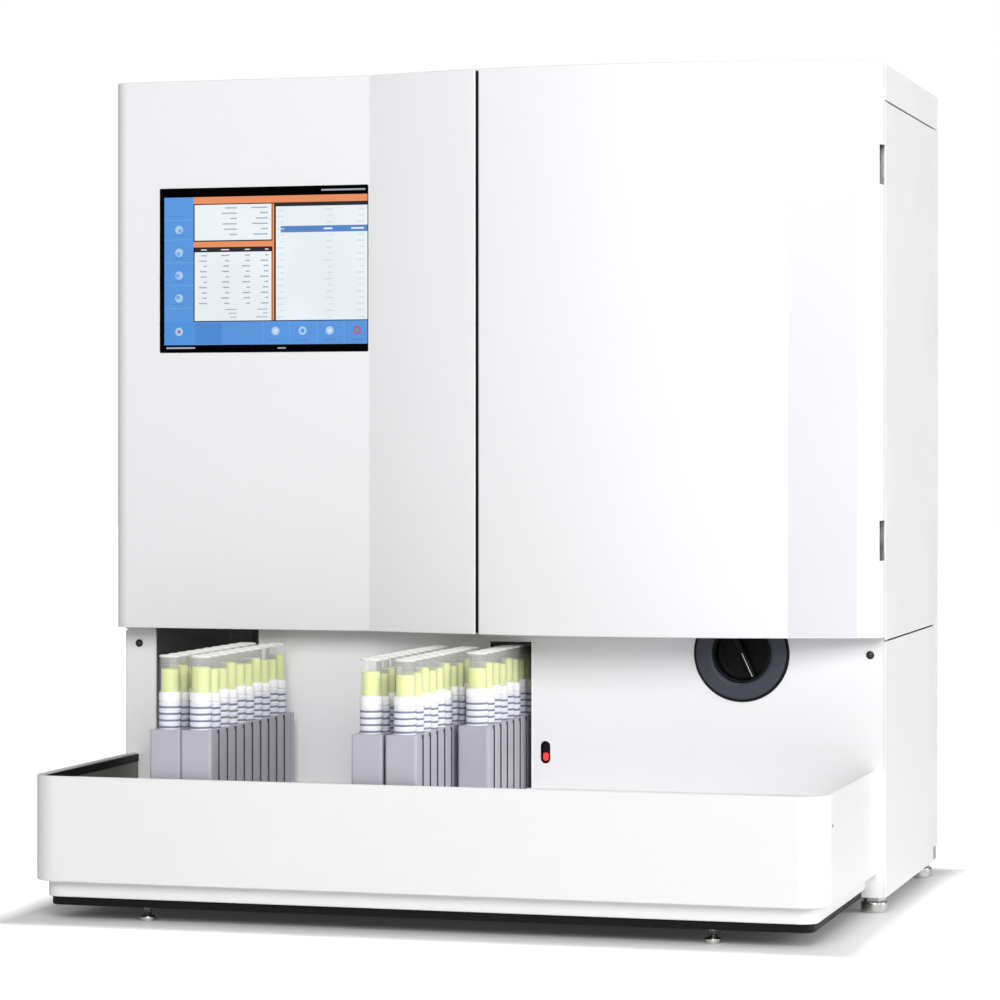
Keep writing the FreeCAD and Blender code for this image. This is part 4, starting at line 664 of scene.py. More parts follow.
# %% The page on the screen
LAYER = 0.00003
PAGE_MARGIN = 0.0006
PAGE = np.array((glass_low.x + PAGE_MARGIN, glass_high.x - PAGE_MARGIN))
PAGE_TALL = np.array((glass_high.z - PAGE_MARGIN, glass_low.z + PAGE_MARGIN))
WHITE, MIST, GREY, INK = (0.9, 0.97, 1.0), (0.72, 0.84, 0.95), (0.42, 0.45, 0.55), (0.006, 0.006, 0.008)
BLUE, DEEP, PALE, ROW_BLUE = (0.1, 0.33, 0.8), (0.07, 0.27, 0.7), (0.2, 0.44, 0.88), (0.09, 0.25, 0.62)
ORANGE, RED, MILK = (0.88, 0.3, 0.12), (0.5, 0.12, 0.2), (0.45, 0.66, 0.95)


def page_point(across, down, layer):
    """A place on the page by its shares from the left and from the top, on a layer of its own."""
    x = PAGE[0] + np.asarray(across, float) * (PAGE[1] - PAGE[0])
    z = PAGE_TALL[0] + np.asarray(down, float) * (PAGE_TALL[1] - PAGE_TALL[0])
    y = np.full_like(x, glass_low.y - GLASS_PROUD - LAYER * layer)
    return np.stack([x, y, z], -1)


def field(left, top, right, bottom, layer):
    """A flat rectangle of the page."""
    return page_point([left, right, right, left], [top, top, bottom, bottom], layer), [[0, 1, 2, 3]]


def dot(across, down, radius, layer, sides=20):
    """A flat disc of the page: radius * cos t and radius * sin t about its middle."""
    t = np.linspace(0, 2 * math.pi, sides, endpoint=False)
    ring = page_point(np.full(sides, across), np.full(sides, down), layer)
    ring[:, 0] += radius * np.cos(t)
    ring[:, 2] += radius * np.sin(t)
    return ring, [list(range(sides))]


# %% What the page shows
BAR_X = (0.02, 0.163)
LIST_X = (0.168, 0.541)
TABLE_X = (0.562, 1.0)
FOOT_Y = (0.815, 0.957)
BUTTONS_Y = (0.13, 0.25, 0.39, 0.53, 0.67)
ICONS_X = (0.56, 0.69, 0.82, 0.95)
ICON = 0.0034
BUTTON_X, ICON_Y = 0.092, 0.875


def list_rows(left, right, top, bottom, rows, columns, width, tone, layer, shift=0.0):
    """Short bars in rows and columns, as lines of a list look from a step away."""
    step_y = (bottom - top) / rows
    tall = step_y * 0.24
    marks = []
    for row in range(rows):
        for n, column in enumerate(columns):
            wide = width * (0.7 + 0.3 * math.sin(row * 2.3 + n * 1.7 + shift))
            x = left + column * (right - left)
            y = top + (row + 0.5) * step_y
            marks.append((field(x - wide, y - tall / 2, x, y + tall / 2, layer), tone))
    return marks


def page():
    """Every field of the page with its colour, from the back layer to the front one."""
    left, bar = BAR_X
    a, b = LIST_X
    c, d = TABLE_X
    foot_top, foot = FOOT_Y
    plain = [(0, 0, 1, 1, 0, INK), (left, 0.052, bar, foot, 1, BLUE), (left, foot_top, d, foot, 1, BLUE),
             (bar, 0.052, d, 0.094, 1, ORANGE), (bar, 0.325, 0.55, 0.36, 1, ORANGE),
             (0.545, 0.1, 0.554, 0.81, 1, ORANGE), (a, 0.1, b, 0.318, 1, WHITE), (a, 0.362, b, 0.39, 1, INK),
             (a, 0.39, b, 0.81, 1, WHITE), (0.56, 0.094, d, 0.118, 1, INK), (c, 0.118, d, 0.81, 1, WHITE),
             (0.585, 0.238, d, 0.277, 2, ROW_BLUE), (a, 0.82, 0.3, 0.952, 2, DEEP),
             (0.03, 0.97, 0.17, 0.98, 1, GREY), (0.78, 0.018, 0.99, 0.028, 1, GREY),
             (0.57, 0.975, 0.61, 0.983, 1, GREY)]
    fields = [(field(*sides), tone) for *sides, tone in plain]
    for n, y in enumerate(BUTTONS_Y):
        fields.append((field(left, y + 0.06, bar, y + 0.063, 2), PALE))
        fields.append((field(0.06, y + 0.034, 0.125, y + 0.04, 2), DEEP))
        if n:
            fields.append((dot(BUTTON_X, y, ICON, 2), MILK))
            fields.append((dot(BUTTON_X + 0.008 * math.cos(n), y + 0.008 * math.sin(n), ICON / 2, 3), PALE))
    for n, x in enumerate(ICONS_X):
        fields.append((field(x - 0.062, foot_top, x - 0.06, foot, 2), PALE))
        fields.append((dot(x, ICON_Y, ICON, 2), MILK if n < 3 else RED))
        fields.append((dot(x, ICON_Y, ICON / 2, 3), BLUE if n % 2 else MIST))
        fields.append((field(x - 0.03, 0.928, x + 0.03, 0.935, 2), DEEP))
    fields += [(dot(BUTTON_X, ICON_Y, ICON, 2), MILK), (dot(BUTTON_X, ICON_Y, ICON / 2.5, 3), RED)]
    columns = (0.16, 0.45, 0.72, 0.96)
    fields += list_rows(a, b, 0.105, 0.3, 6, (0.55, 0.95), 0.08, GREY, 2)
    fields += list_rows(a, b, 0.395, 0.72, 10, columns, 0.04, GREY, 2)
    fields += list_rows(a, b, 0.73, 0.8, 3, (0.55, 0.95), 0.06, GREY, 2, 1.0)
    fields += list_rows(c, d, 0.122, 0.81, 18, (0.09, 0.62, 0.96), 0.04, MIST, 2)
    fields += list_rows(c, d, 0.238, 0.277, 1, (0.62, 0.96), 0.06, WHITE, 3)
    fields += list_rows(a, b, 0.364, 0.388, 1, columns, 0.04, WHITE, 2)
    return fields


# %% A lit picture
SCREEN_GLOW = 0.92
shown = bpy.data.materials.new("screen_page")
shown.use_nodes = True
shader = shown.node_tree.nodes["Principled BSDF"]
colours = shown.node_tree.nodes.new("ShaderNodeAttribute")
colours.attribute_name = "page_colour"
dimmed = shown.node_tree.nodes.new("ShaderNodeMix")
dimmed.data_type = "RGBA"
dimmed.inputs["B"].default_value = (0, 0, 0, 1)
shown.node_tree.links.new(colours.outputs["Color"], dimmed.inputs["A"])
shown.node_tree.links.new(group_in(shown, cloud, 14.0, 0.0, 0.08), dimmed.inputs["Factor"])
shown.node_tree.links.new(dimmed.outputs["Result"], shader.inputs["Emission Color"])
shader.inputs["Emission Strength"].default_value = SCREEN_GLOW
shader.inputs["Base Color"].default_value = (0.02, 0.02, 0.024, 1)
shader.inputs["Roughness"].default_value = 0.2
shader.inputs["Specular IOR Level"].default_value = 0.12
finishes["screen_page"] = shown

fields = page()
screen_page = piece("screen_page", [surface for surface, _ in fields], "screen_page", "left_door",
                    slot="screen_glass")
corner_colours = screen_page.data.color_attributes.new("page_colour", "FLOAT_COLOR", "CORNER")
per_corner = [colour for (_, faces), colour in fields for face in faces for _ in face]
flat = np.concatenate([np.array(per_corner), np.ones((len(per_corner), 1))], 1)
corner_colours.data.foreach_set("color", flat.ravel())
print(len(fields), "fields on the page")

# %% [markdown]
# ## The cabinet's skin
# The sides are plates of folded sheet with a thin seam at the height of the doors' foot, and a
# shallow lid closes the top. The lid is a pan, so its section runs up its outer wall, over a small
# round and in, and comes back under the sheet. Seams stay open: they are what shows that this is
# an assembly and not a block.
# %% Sides and lid
SHEET = 0.0015
PLATE_EDGE = 0.0006
LID_ROUND = 0.0012
LIP_SIDE = 0.02
LIP_DEEP = 0.008

for name in ("right_lower_side", "right_upper_side", "left_lower_side", "left_upper_side"):
    low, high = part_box(name)
    plate = slab(rectangle(low.x, high.x, low.y, high.y, PLATE_EDGE), low.z, high.z, PLATE_EDGE)
    piece(name.replace("side", "plate"), [plate], "cabinet_paint", replaces=[name])

lid_low, lid_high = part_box("top_cover")
panel_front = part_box("lower_front_panel")[0].y
lid_path = rectangle(lid_low.x, lid_high.x, panel_front, lid_high.y, 2 * LID_ROUND)
lid_section = np.concatenate([[(-SHEET, lid_high.z - SHEET), (-SHEET, lid_low.z)],
                              edge_arc(-PLATE_EDGE, lid_low.z + PLATE_EDGE, PLATE_EDGE, -90, 0, 2),
                              edge_arc(-LID_ROUND, lid_high.z - LID_ROUND, LID_ROUND, 0, 90)])
lip = block(lid_low.x + LIP_SIDE, lid_high.x - LIP_SIDE, lid_low.y, panel_front + SHEET,
            lid_high.z - LIP_DEEP, lid_high.z - PLATE_EDGE)
piece("lid", [carried(lid_path, lid_section), lip], "cabinet_paint", replaces=["top_cover"])

# %% [markdown]
# ## The lower front panel
# The panel under the doors is one sheet with two openings for the racks, a round one for the strip
# port and a slot for the switch. It is a slab stood upright with those taken out. The left opening
# runs up behind the door, and the lane's stops below it. The photograph shows a thin bright line
# round both, which is the rolled rim of the cut: a half-round bead carried round the outline.
# %% The panel and its openings
panel_low, panel_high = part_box("lower_front_panel")
ring_low, ring_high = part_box("strip_port_ring")
frame_low, frame_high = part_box("rocker_frame")
deck_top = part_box("tray_deck")[1].z
port = ((ring_low.x + ring_high.x) / 2, 0, (ring_low.z + ring_high.z) / 2)
NECK = 0.03
RIM = 0.0007
PANEL_EDGE = 0.0003
openings = {"left": (-0.288, -0.199, left_low.z + 0.002), "lane": (-0.003, 0.031, 0.206)}


def oblong(x0, x1, z0, z1, y0, y1, edge):
    """An upright bar with round ends, seen from the front."""
    return facing_front(slab(rectangle(x0, x1, z0, z1, (x1 - x0) / 2, 10), y0, y1, edge))


before, behind = panel_low.y - OVER, panel_high.y + OVER
holes = [block(x0, x1, before, behind, deck_top, top, 0, 0) for x0, x1, top in openings.values()]
holes.append(turned([(0, before), (NECK, before), (NECK, behind), (0, behind)], port, "y", 64))
holes.append(oblong(frame_low.x, frame_high.x, frame_low.z, frame_high.z, before, behind, 0))
sheet = slab(rectangle(panel_low.x, panel_high.x, panel_low.z, panel_high.z, PLATE_EDGE),
             panel_low.y, panel_high.y, PANEL_EDGE, 2)
# The panel and its opening rims take the brightened paint, painted light in the doors' shade.
piece("front_panel", [facing_front(sheet)], "lit_panel_paint", slot="cabinet_paint",
      replaces=["lower_front_panel"], without=holes)

for name, (x0, x1, top) in openings.items():
    outline = np.array([(x0, deck_top), (x0, top), (x1, top), (x1, deck_top)])[::-1]
    bead = edge_arc(RIM, panel_front, RIM, 180, 360, 6)
    rim = carried(outline, bead, closed=False)
    piece(name + "_opening_rim", [facing_front(rim)], "lit_panel_paint", slot="cabinet_paint")

# %% [markdown]
# Two screws hold the panel's upper corners. Each shows as a dark ring with a bright middle: a
# blackened head with a cross cut in it, round a bright, galvanised centre.
# %% Panel screws
SCREW_HEAD = 0.0032
CROSS_LONG, CROSS_WIDE, CROSS_DEEP = 0.0019, 0.00045, 0.0011
screw_low, screw_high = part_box("panel_screws")
head_z = (screw_low.z + screw_high.z) / 2
head_x = screw_high.x - SCREW_HEAD


def cross_outline(x):
    """A cross about a screw's middle: a quarter of its corners, turned by 0, 90, 180 and 270 degrees."""
    quarter = np.array([(CROSS_WIDE, -CROSS_LONG), (CROSS_WIDE, -CROSS_WIDE), (CROSS_LONG, -CROSS_WIDE)])
    turns = [np.array([(c, s), (-s, c)]) for c, s in ((1, 0), (0, 1), (-1, 0), (0, -1))]
    return np.concatenate([quarter @ turn for turn in turns]) + (x, head_z)


dome = [(0, 0), (0.0012, 0.00003), (0.0021, 0.00022), (0.0028, 0.0006), (0.00315, 0.0011), (0.0032, 0.0016),
        (0, 0.0016)]
centre_disc = [(0, -0.00004), (0.0009, -0.00002), (0.00125, 0.0002), (0, 0.0002)]
screws, middles, crosses = [], [], []
for x in (-head_x, head_x):
    screws.append(turned(dome, (x, screw_low.y, head_z), "y", 28))
    middles.append(turned(centre_disc, (x, screw_low.y, head_z), "y", 20))
    cross = slab(cross_outline(x), screw_low.y - CROSS_DEEP, screw_low.y + CROSS_DEEP, 0)
    crosses.append(facing_front(cross))
piece("panel_screw_heads", screws, "dark_steel", slot="galvanised", replaces=["panel_screws"],
      without=crosses)
piece("panel_screw_middles", middles, "galvanised", without=crosses)

# %% [markdown]
# ## The power rocker
# A small black switch with a red light sits beside the racks. Its frame and its paddle are oblongs:
# rectangles whose corner radius is half their width. The light is a lens that gives off a little
# red of its own.
# %% Rocker, frame and light
paddle_low, paddle_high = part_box("power_rocker")
FRAME_WALL = 0.001
PADDLE_WIDE = 0.0052
LENS_WIDE, LENS_TALL, LENS_DROP = 0.0042, 0.0064, 0.0004
PADDLE_FRONT = -0.0272
TRIM_EDGE, HOLLOW_EDGE, PADDLE_EDGE = 0.0003, 0.0001, 0.0006
rocker_x = (frame_low.x + frame_high.x) / 2


collar = oblong(frame_low.x, frame_high.x, frame_low.z, frame_high.z, frame_low.y, frame_high.y, TRIM_EDGE)
hollow = oblong(frame_low.x + FRAME_WALL, frame_high.x - FRAME_WALL, frame_low.z + FRAME_WALL,
                frame_high.z - FRAME_WALL, frame_low.y - FRAME_WALL, frame_high.y - FRAME_WALL, HOLLOW_EDGE)
piece("rocker_collar", [collar], "black_trim", replaces=["rocker_frame"], without=[hollow])
half = PADDLE_WIDE / 2
paddle = oblong(rocker_x - half, rocker_x + half, paddle_low.z, paddle_high.z, PADDLE_FRONT,
                paddle_high.y, PADDLE_EDGE)
piece("rocker_paddle", [paddle], "black_trim", "rocker", replaces=["power_rocker"])
half = LENS_WIDE / 2
lens_z = paddle_low.z + LENS_DROP
lens = oblong(rocker_x - half, rocker_x + half, lens_z, lens_z + LENS_TALL, paddle_low.y,
              PADDLE_FRONT + FRAME_WALL, TRIM_EDGE)
piece("rocker_light", [lens], "power_glow", "rocker", slot="black_trim")

# %% [markdown]
# ## The strip port
# Test strips are poured in behind a round cap with a bar to turn it by. The ring and the cup are
# profiles turned about the port's axis, which points forward. The ring's inner edge is bevelled, so
# it catches the light, and a black rim shows round it. The cap is deep, and its black is painted
# shade for that depth. A thin pale line along its bar is a painted highlight on the bar's edge.
# %% Ring and its black rim
cap_low, cap_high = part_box("strip_port_cap")
ring_out = (ring_high.x - ring_low.x) / 2
ring_in = (cap_high.x - cap_low.x) / 2 + 0.0003
BEVEL = 0.0018
ROUND = 0.0008
BLACK_RIM = 0.0022
BLACK_RIM_PROUD = 0.0012
BLACK_RIM_UNDER = 0.001

front = ring_low.y
slate_out = ring_out - BLACK_RIM
ring = np.concatenate([[(slate_out, panel_front)],
                       edge_arc(slate_out - ROUND, front + ROUND, ROUND, 0, -90),
                       [(ring_in + BEVEL + 0.0006, front), (ring_in + BEVEL, front + 0.0004),
                        (ring_in, front + BEVEL), (ring_in, ring_high.y), (NECK, ring_high.y),
                        (NECK, panel_front)]])
piece("port_ring", [turned(ring, port, "y", 96, loop=True)], "slate_plastic", replaces=["strip_port_ring"])
black_rim_in, black_rim_front = slate_out - BLACK_RIM_UNDER, panel_front - BLACK_RIM_PROUD
black_rim = [(black_rim_in, panel_front), (ring_out, panel_front), (ring_out, panel_front - BLACK_RIM_PROUD / 2),
          (ring_out - BLACK_RIM_PROUD / 2, black_rim_front), (black_rim_in, black_rim_front)]
piece("port_black_rim", [turned(black_rim, port, "y", 96, loop=True)], "black_trim")

# %% Cap and grip
CAP_WALL = 0.0018
FLOOR_FILLET = 0.0025
GRIP_WIDE = 0.0052
GRIP_RISE = 0.0106
GRIP_CORNER, GRIP_EDGE, GRIP_SUNK, GRIP_CLEAR = 0.0012, 0.0014, 0.0004, 0.0002
GRIP_ANGLE = math.radians(65)
LINE_WIDE = 0.0004
cap_out = (cap_high.x - cap_low.x) / 2
bowl = cap_out - CAP_WALL
floor_y = cap_high.y - CAP_WALL
lip = CAP_WALL / 2


def spun(surface):
    """A bar stood up in front of the port and turned about its axis by the grip's angle."""
    points, faces = facing_front(surface)
    c, s = math.cos(GRIP_ANGLE), math.sin(GRIP_ANGLE)
    x, y, z = points.T
    return np.stack([x * c + z * s, y, z * c - x * s], 1) + np.array(port), faces


cup = np.concatenate([[(0, floor_y)],
                      edge_arc(bowl - FLOOR_FILLET, floor_y - FLOOR_FILLET, FLOOR_FILLET, 90, 0),
                      edge_arc(bowl + lip, cap_low.y + lip, lip, 180, 360, 6),
                      [(cap_out, cap_high.y), (0, cap_high.y)]])
reach = bowl - GRIP_CLEAR
crest = floor_y - GRIP_RISE
plan = rectangle(-reach, reach, -GRIP_WIDE / 2, GRIP_WIDE / 2, GRIP_CORNER)
bar = slab(plan, crest, floor_y + GRIP_SUNK, GRIP_EDGE)
# The cap takes black trim in place of its slate: painted shade for the deep cup.
piece("port_cap", [turned(cup, port, "y", 80), spun(bar)], "black_trim", "port_cap", slot="slate_plastic",
      replaces=["strip_port_cap"])
# The pale strip along the bar's edge is a painted highlight.
grip_highlight = slab(rectangle(0, reach - GRIP_CORNER, -LINE_WIDE / 2, LINE_WIDE / 2), crest - LINE_WIDE / 4,
               crest + LINE_WIDE, 0)
piece("port_grip_highlight", [spun(grip_highlight)], "tube_collar", "port_cap", slot="slate_plastic")

# %% [markdown]
# ## The rack tray
# The tray is a bent sheet with a rolled rim, open behind where it meets the cabinet. A U-shaped plan
# path carries its section: up the outside, over the rim in a half round, and down the inside. Below
# it a base pan steps in, then a dark plinth, so the tray seems to float. Inside stands an olive
# liner with a black band along its top, painted shade under the rim, and a small black plug closes a
# hole near each front corner.
# %% Tray paths
tray_low, tray_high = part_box("tray_shell")
TRAY_CORNER = 0.022
TRAY_WALL = 0.003
CORNER_STEPS = 14


def tray_path(inset, back):
    """The tray's plan, drawn in by an inset, from its left rear corner round the front."""
    x, y, radius = tray_high.x - inset, tray_low.y + inset, TRAY_CORNER - inset
    corners = [(-x, back), (-x, y), (x, y), (x, back)]
    return rounded(corners, [0, radius, radius, 0], CORNER_STEPS)


# %% Shell, liner and deck
SKIRT_EDGE = 0.0012
LINER_WALL = 0.0012
FLOOR_SHEET, FLOOR_EDGE = 0.002, 0.0002
liner_low, liner_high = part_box("tray_liner")
rim = TRAY_WALL / 2
back = panel_front
shell_section = np.concatenate([edge_arc(-SKIRT_EDGE, tray_low.z + SKIRT_EDGE, SKIRT_EDGE, -90, 0),
                                edge_arc(-rim, tray_high.z - rim, rim, 0, 180, 10),
                                [(-TRAY_WALL, tray_low.z)]])
tray_floor = slab(tray_path(TRAY_WALL, back), tray_low.z, tray_low.z + FLOOR_SHEET, FLOOR_EDGE, 1)
piece("tray_skirt", [carried(tray_path(0, back), shell_section, closed=False), tray_floor], "tray_paint",
      replaces=["tray_shell"])
RIM_SHADE_TALL, RIM_SHADE_SHARE = 0.006, 1.3
HOLE, HOLE_UP, HOLE_IN, HOLE_PROUD = 0.0015, 0.088, 0.026, 0.00015


def lining(low, high, wall):
    """The section of a thin lining on the tray's inside, with a half round for its top edge."""
    top = edge_arc(-wall / 2, high - wall / 2, wall / 2, 0, 180, 6)
    return np.concatenate([[(0, low)], top, [(-wall, low)]])


inner = tray_path(TRAY_WALL, back)
piece("tray_lining", [carried(inner, lining(liner_low.z, liner_high.z - RIM_SHADE_TALL, LINER_WALL), False)],
      "dark_liner", replaces=["tray_liner"])
# The black band along the liner's top is painted shade under the tray's rim.
rim_shade = lining(liner_high.z - RIM_SHADE_TALL, liner_high.z, RIM_SHADE_SHARE * LINER_WALL)
piece("tray_rim_shade", [carried(inner, rim_shade, False)], "black_trim", slot="dark_liner")
plug = [(0, HOLE_PROUD), (HOLE * 0.8, HOLE_PROUD), (HOLE, 0), (HOLE, -HOLE), (0, -HOLE)]
plugs = [turned(np.array(plug) * (1, side), (side * tray_high.x, tray_low.y + HOLE_IN, HOLE_UP), "x", 20)
         for side in (-1, 1)]
piece("tray_hole_plugs", plugs, "black_trim", slot="tray_paint")

# %% Base and plinth
BASE_INSET, PLINTH_INSET = 0.009, 0.012
BASE_EDGE, PLINTH_EDGE = 0.0012, 0.0008
base_low, base_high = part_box("tray_base")
plinth_low, plinth_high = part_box("tray_plinth")
base = slab(tray_path(BASE_INSET, back), base_low.z, base_high.z, BASE_EDGE)
piece("tray_base_pan", [base], "tray_paint", replaces=["tray_base"])
plinth = slab(tray_path(PLINTH_INSET, back), plinth_low.z, plinth_high.z, PLINTH_EDGE)
piece("tray_foot_rail", [plinth], "black_trim", replaces=["tray_plinth"])

# %% [markdown]
# ## The feet
# Levelling feet are turned steel discs on threaded studs, with a nut to lock them. A thread is a
# helix, but rings a pitch apart look the same at this size and close on themselves.
# %% Discs, studs and nuts
THREAD = 0.00125
THREAD_DEEP = 0.0004
NUT_EDGE, NUT_GAP = 0.0005, 0.0002


def foot(place, radius, tall, edge, stud, top):
    """A disc with rounded edges and a stud whose radius waves once in each pitch of its thread."""
    disc = np.concatenate([[(0, 0)], edge_arc(radius - edge, edge, edge, -90, 0),
                           edge_arc(radius - edge, tall - edge, edge, 0, 90), [(stud + edge, tall)]])
    turns = max(1, round((top - tall) / THREAD))
    height = np.linspace(tall, top, turns * 4 + 1)
    wave = stud - THREAD_DEEP * (1 - np.cos(np.arange(len(height)) * math.radians(90))) / 2
    return turned(np.concatenate([disc, np.stack([wave, height], 1), [(0, top)]]), place, "z", 36)


def nut(place, flats, z0, z1):
    """A hexagon with softened edges: six corners at half the flats over cos 30 degrees."""
    a = np.radians(np.arange(6) * 60.0)
    corners = np.stack([np.cos(a), np.sin(a)], 1) * flats / (2 * math.cos(math.radians(30)))
    return moved(slab(corners, z0, z1, NUT_EDGE, 2), place)


FOOT_RADIUS, FOOT_DISC, FOOT_EDGE, FOOT_STUD, FOOT_FLATS = 0.0105, 0.0085, 0.0015, 0.004, 0.015
feet_low, feet_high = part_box("cabinet_feet")
nut_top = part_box("base_plate")[0].z
feet = []
for x in (feet_low.x + FOOT_RADIUS, feet_high.x - FOOT_RADIUS):
    for y in (feet_low.y + FOOT_RADIUS, feet_high.y - FOOT_RADIUS):
        feet.append(foot((x, y, 0), FOOT_RADIUS, FOOT_DISC, FOOT_EDGE, FOOT_STUD, nut_top))
        feet.append(nut((x, y, 0), FOOT_FLATS, FOOT_DISC + NUT_GAP, nut_top))
piece("levelling_feet", feet, "foot_steel", replaces=["cabinet_feet"])

TRAY_FOOT, TRAY_FOOT_DISC, TRAY_FOOT_EDGE, TRAY_STUD = 0.006, 0.004, 0.0008, 0.0035
feet_low, feet_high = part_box("tray_feet")
y = (feet_low.y + feet_high.y) / 2
feet = [foot((x, y, 0), TRAY_FOOT, TRAY_FOOT_DISC, TRAY_FOOT_EDGE, TRAY_STUD, plinth_low.z)
        for x in (feet_low.x + TRAY_FOOT, feet_high.x - TRAY_FOOT)]
piece("tray_levelling_feet", feet, "foot_steel", replaces=["tray_feet"])

# %% [markdown]
# ## The racks
# A rack is one moulding for ten tubes: a plain front plate, ribs between the tubes along both
# sides, and a pocket for each tube. Its plan path steps in between the ribs, and the pockets are
# cut out of the raised block. Before each rib a thin dark strip with a wider notch at its top is
# painted shade, standing for a slot in which the drive's pins catch. All five racks share one shape,
# so it is made once about its own corner and set down where each rack stands.
# %% One rack
rack_low, rack_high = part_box("rack_a")
tubes_low, tubes_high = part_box("rack_a_tubes")
RACK_WIDE, RACK_LONG = rack_high.x - rack_low.x, rack_high.y - rack_low.y
RACK_TALL = rack_high.z - rack_low.z
TUBES = 10
TUBE = (tubes_high.x - tubes_low.x) / 2
PITCH = (tubes_high.y - tubes_low.y - 2 * TUBE) / (TUBES - 1)
FIRST_TUBE = tubes_low.y + TUBE - rack_low.y
GROOVE = 0.001
RIB = 0.003
END_PLATE = 0.004
POCKET_GAP, POCKET_FLARE, POCKET_OVER = 0.0004, 0.0008, 0.002
POCKET = TUBE + POCKET_GAP
FRONT_ROUND, RACK_EDGE = 0.0022, 0.0005
SLOT_WIDE, NOTCH_WIDE, NOTCH_TALL = 0.0006, 0.0024, 0.0034
SLOT_SHY, SLOT_SUNK, SLOT_FOOT, NOTCH_SHY = 0.0001, 0.0002, 0.002, 0.0006
tube_y = FIRST_TUBE + PITCH * np.arange(TUBES)
rib_y = tube_y[:-1] + PITCH / 2


def rack_path():
    """The rack's plan: its corners rounded, and its long sides drawn in by a groove at each tube."""
    edges = np.concatenate([[END_PLATE], (rib_y[:, None] + np.array((-RIB, RIB)) / 2).ravel(),
                            [RACK_LONG - END_PLATE]])
    steps = np.repeat(edges, 2)
    drawn_in = np.tile((0, GROOVE, GROOVE, 0), len(edges) // 2)
    right = np.stack([RACK_WIDE - drawn_in, steps], 1)
    left = np.stack([drawn_in, steps], 1)[::-1]
    front, rear = [(0, 0), (RACK_WIDE, 0)], [(RACK_WIDE, RACK_LONG), (0, RACK_LONG)]
    corners = np.concatenate([front, right, rear, left])
    radii = [FRONT_ROUND] * 2 + [0] * len(right) + [FRONT_ROUND / 2] * 2 + [0] * len(left)
    return rounded(corners, radii, 5)


def rack_slot_shades():
    """The dark strips before each rib, on both sides, each with a wider notch at its top: painted shade of
    the slots.
    """
    near, far = SLOT_SHY, GROOVE + SLOT_SUNK
    foot_z, top_z = RACK_TALL - NOTCH_TALL, RACK_TALL - NOTCH_SHY
    slot_shades = []
    for y in rib_y - RIB / 2:
        for x0, x1 in ((near, far), (RACK_WIDE - far, RACK_WIDE - near)):
            slot_shades.append(block(x0, x1, y - SLOT_WIDE, y + SLOT_SUNK, SLOT_FOOT, foot_z, 0, 0))
            slot_shades.append(block(x0, x1, y - NOTCH_WIDE, y + NOTCH_SHY, foot_z, top_z, 0, 0))
    return joined(slot_shades)


pocket_floor = tubes_low.z - rack_low.z
flared, above = POCKET + POCKET_FLARE, RACK_TALL + POCKET_OVER
pocket = [(0, pocket_floor), (POCKET, pocket_floor), (POCKET, RACK_TALL - POCKET_FLARE),
          (flared, RACK_TALL), (flared, above), (0, above)]
rack_block = slab(rack_path(), 0, RACK_TALL, RACK_EDGE, 2)
pockets = repeated(turned(pocket, (RACK_WIDE / 2, 0, 0), "z", 32), [(0, y, 0) for y in tube_y])
pattern = new_object("rack_pattern", [rack_block])
cut(pattern, [pockets])
rack_points = np.empty(len(pattern.data.vertices) * 3)
pattern.data.vertices.foreach_get("co", rack_points)
rack_shape = (rack_points.reshape(-1, 3), [list(face.vertices) for face in pattern.data.polygons])
bpy.data.objects.remove(pattern)
RACKS = ("rack_a", "rack_b", "rack_c", "rack_d", "rack_e")
slot_shades_shape = rack_slot_shades()
for name in RACKS:
    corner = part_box(name)[0]
    piece(name + "_moulding", [moved(rack_shape, corner)], "rack_plastic", name, replaces=[name])
    # The dark strips are painted shade in the slots.
    piece(name + "_slots", [moved(slot_shades_shape, corner)], "slate_plastic", name, slot="rack_plastic")

# %% [markdown]
# ## Tubes and samples
# Each tube is a glass profile turned round: a half-round bottom and a straight wall, with a beaded
# rim whose near-opaque white is a painted highlight. The sample inside is its own piece a tenth of a
# millimetre smaller, with a meniscus that climbs at the wall, because a liquid face shared with the
# glass would flicker.
# Above the rack each tube wears a ribbed pale sleeve with four dark rings, and a round white collar
# over it. The levels differ a little, by a sine of the tube's number, and every second sleeve sits
# lower, as the photograph shows.
# %% Glass, samples, sleeves and collars
ORIGIN = (0, 0, 0)
TUBE_SIDES, SLEEVE_SIDES = 28, 24
GLASS = 0.001
RIM_BEAD = 0.0009
LIQUID_GAP = 0.0001
MENISCUS = 0.0008
LEVEL_BELOW_MOUTH = 0.0115
LEVEL_SPREAD = 0.002
SLEEVE_FOOT, SLEEVE_TOP, COLLAR_TOP = -0.002, 0.0205, 0.0285
SLEEVE_PROUD, RIB_PROUD, RING_PROUD, COLLAR_PROUD = 0.00015, 0.0004, 0.00025, 0.0006
RINGS = 4
RING_TALL = 0.0015
STAGGER = 0.0016
COLLAR_ROUND, COLLAR_DIP = 0.0022, 0.0002
tube_top = tubes_high.z - tubes_low.z
rack_top = rack_high.z - tubes_low.z
ring_step = (SLEEVE_TOP - SLEEVE_FOOT) / (RINGS + 0.5)
ring_up = rack_top + SLEEVE_FOOT + ring_step * (0.75 + np.arange(RINGS))


def bowl_arc(radius, bottom, steps=6):
    """The half-round foot of a tube, from its lowest point out to its wall."""
    return edge_arc(0, bottom + radius, radius, -90, 0, steps)


def tube_glass():
    """The tube's outside, its flat mouth, and its inside a wall's thickness in."""
    mouth = [(TUBE, tube_top - RIM_BEAD), (TUBE - GLASS, tube_top - RIM_BEAD)]
    profile = [bowl_arc(TUBE, 0), mouth, bowl_arc(TUBE - GLASS, GLASS)[::-1]]
    return turned(np.concatenate(profile), ORIGIN, "z", TUBE_SIDES)


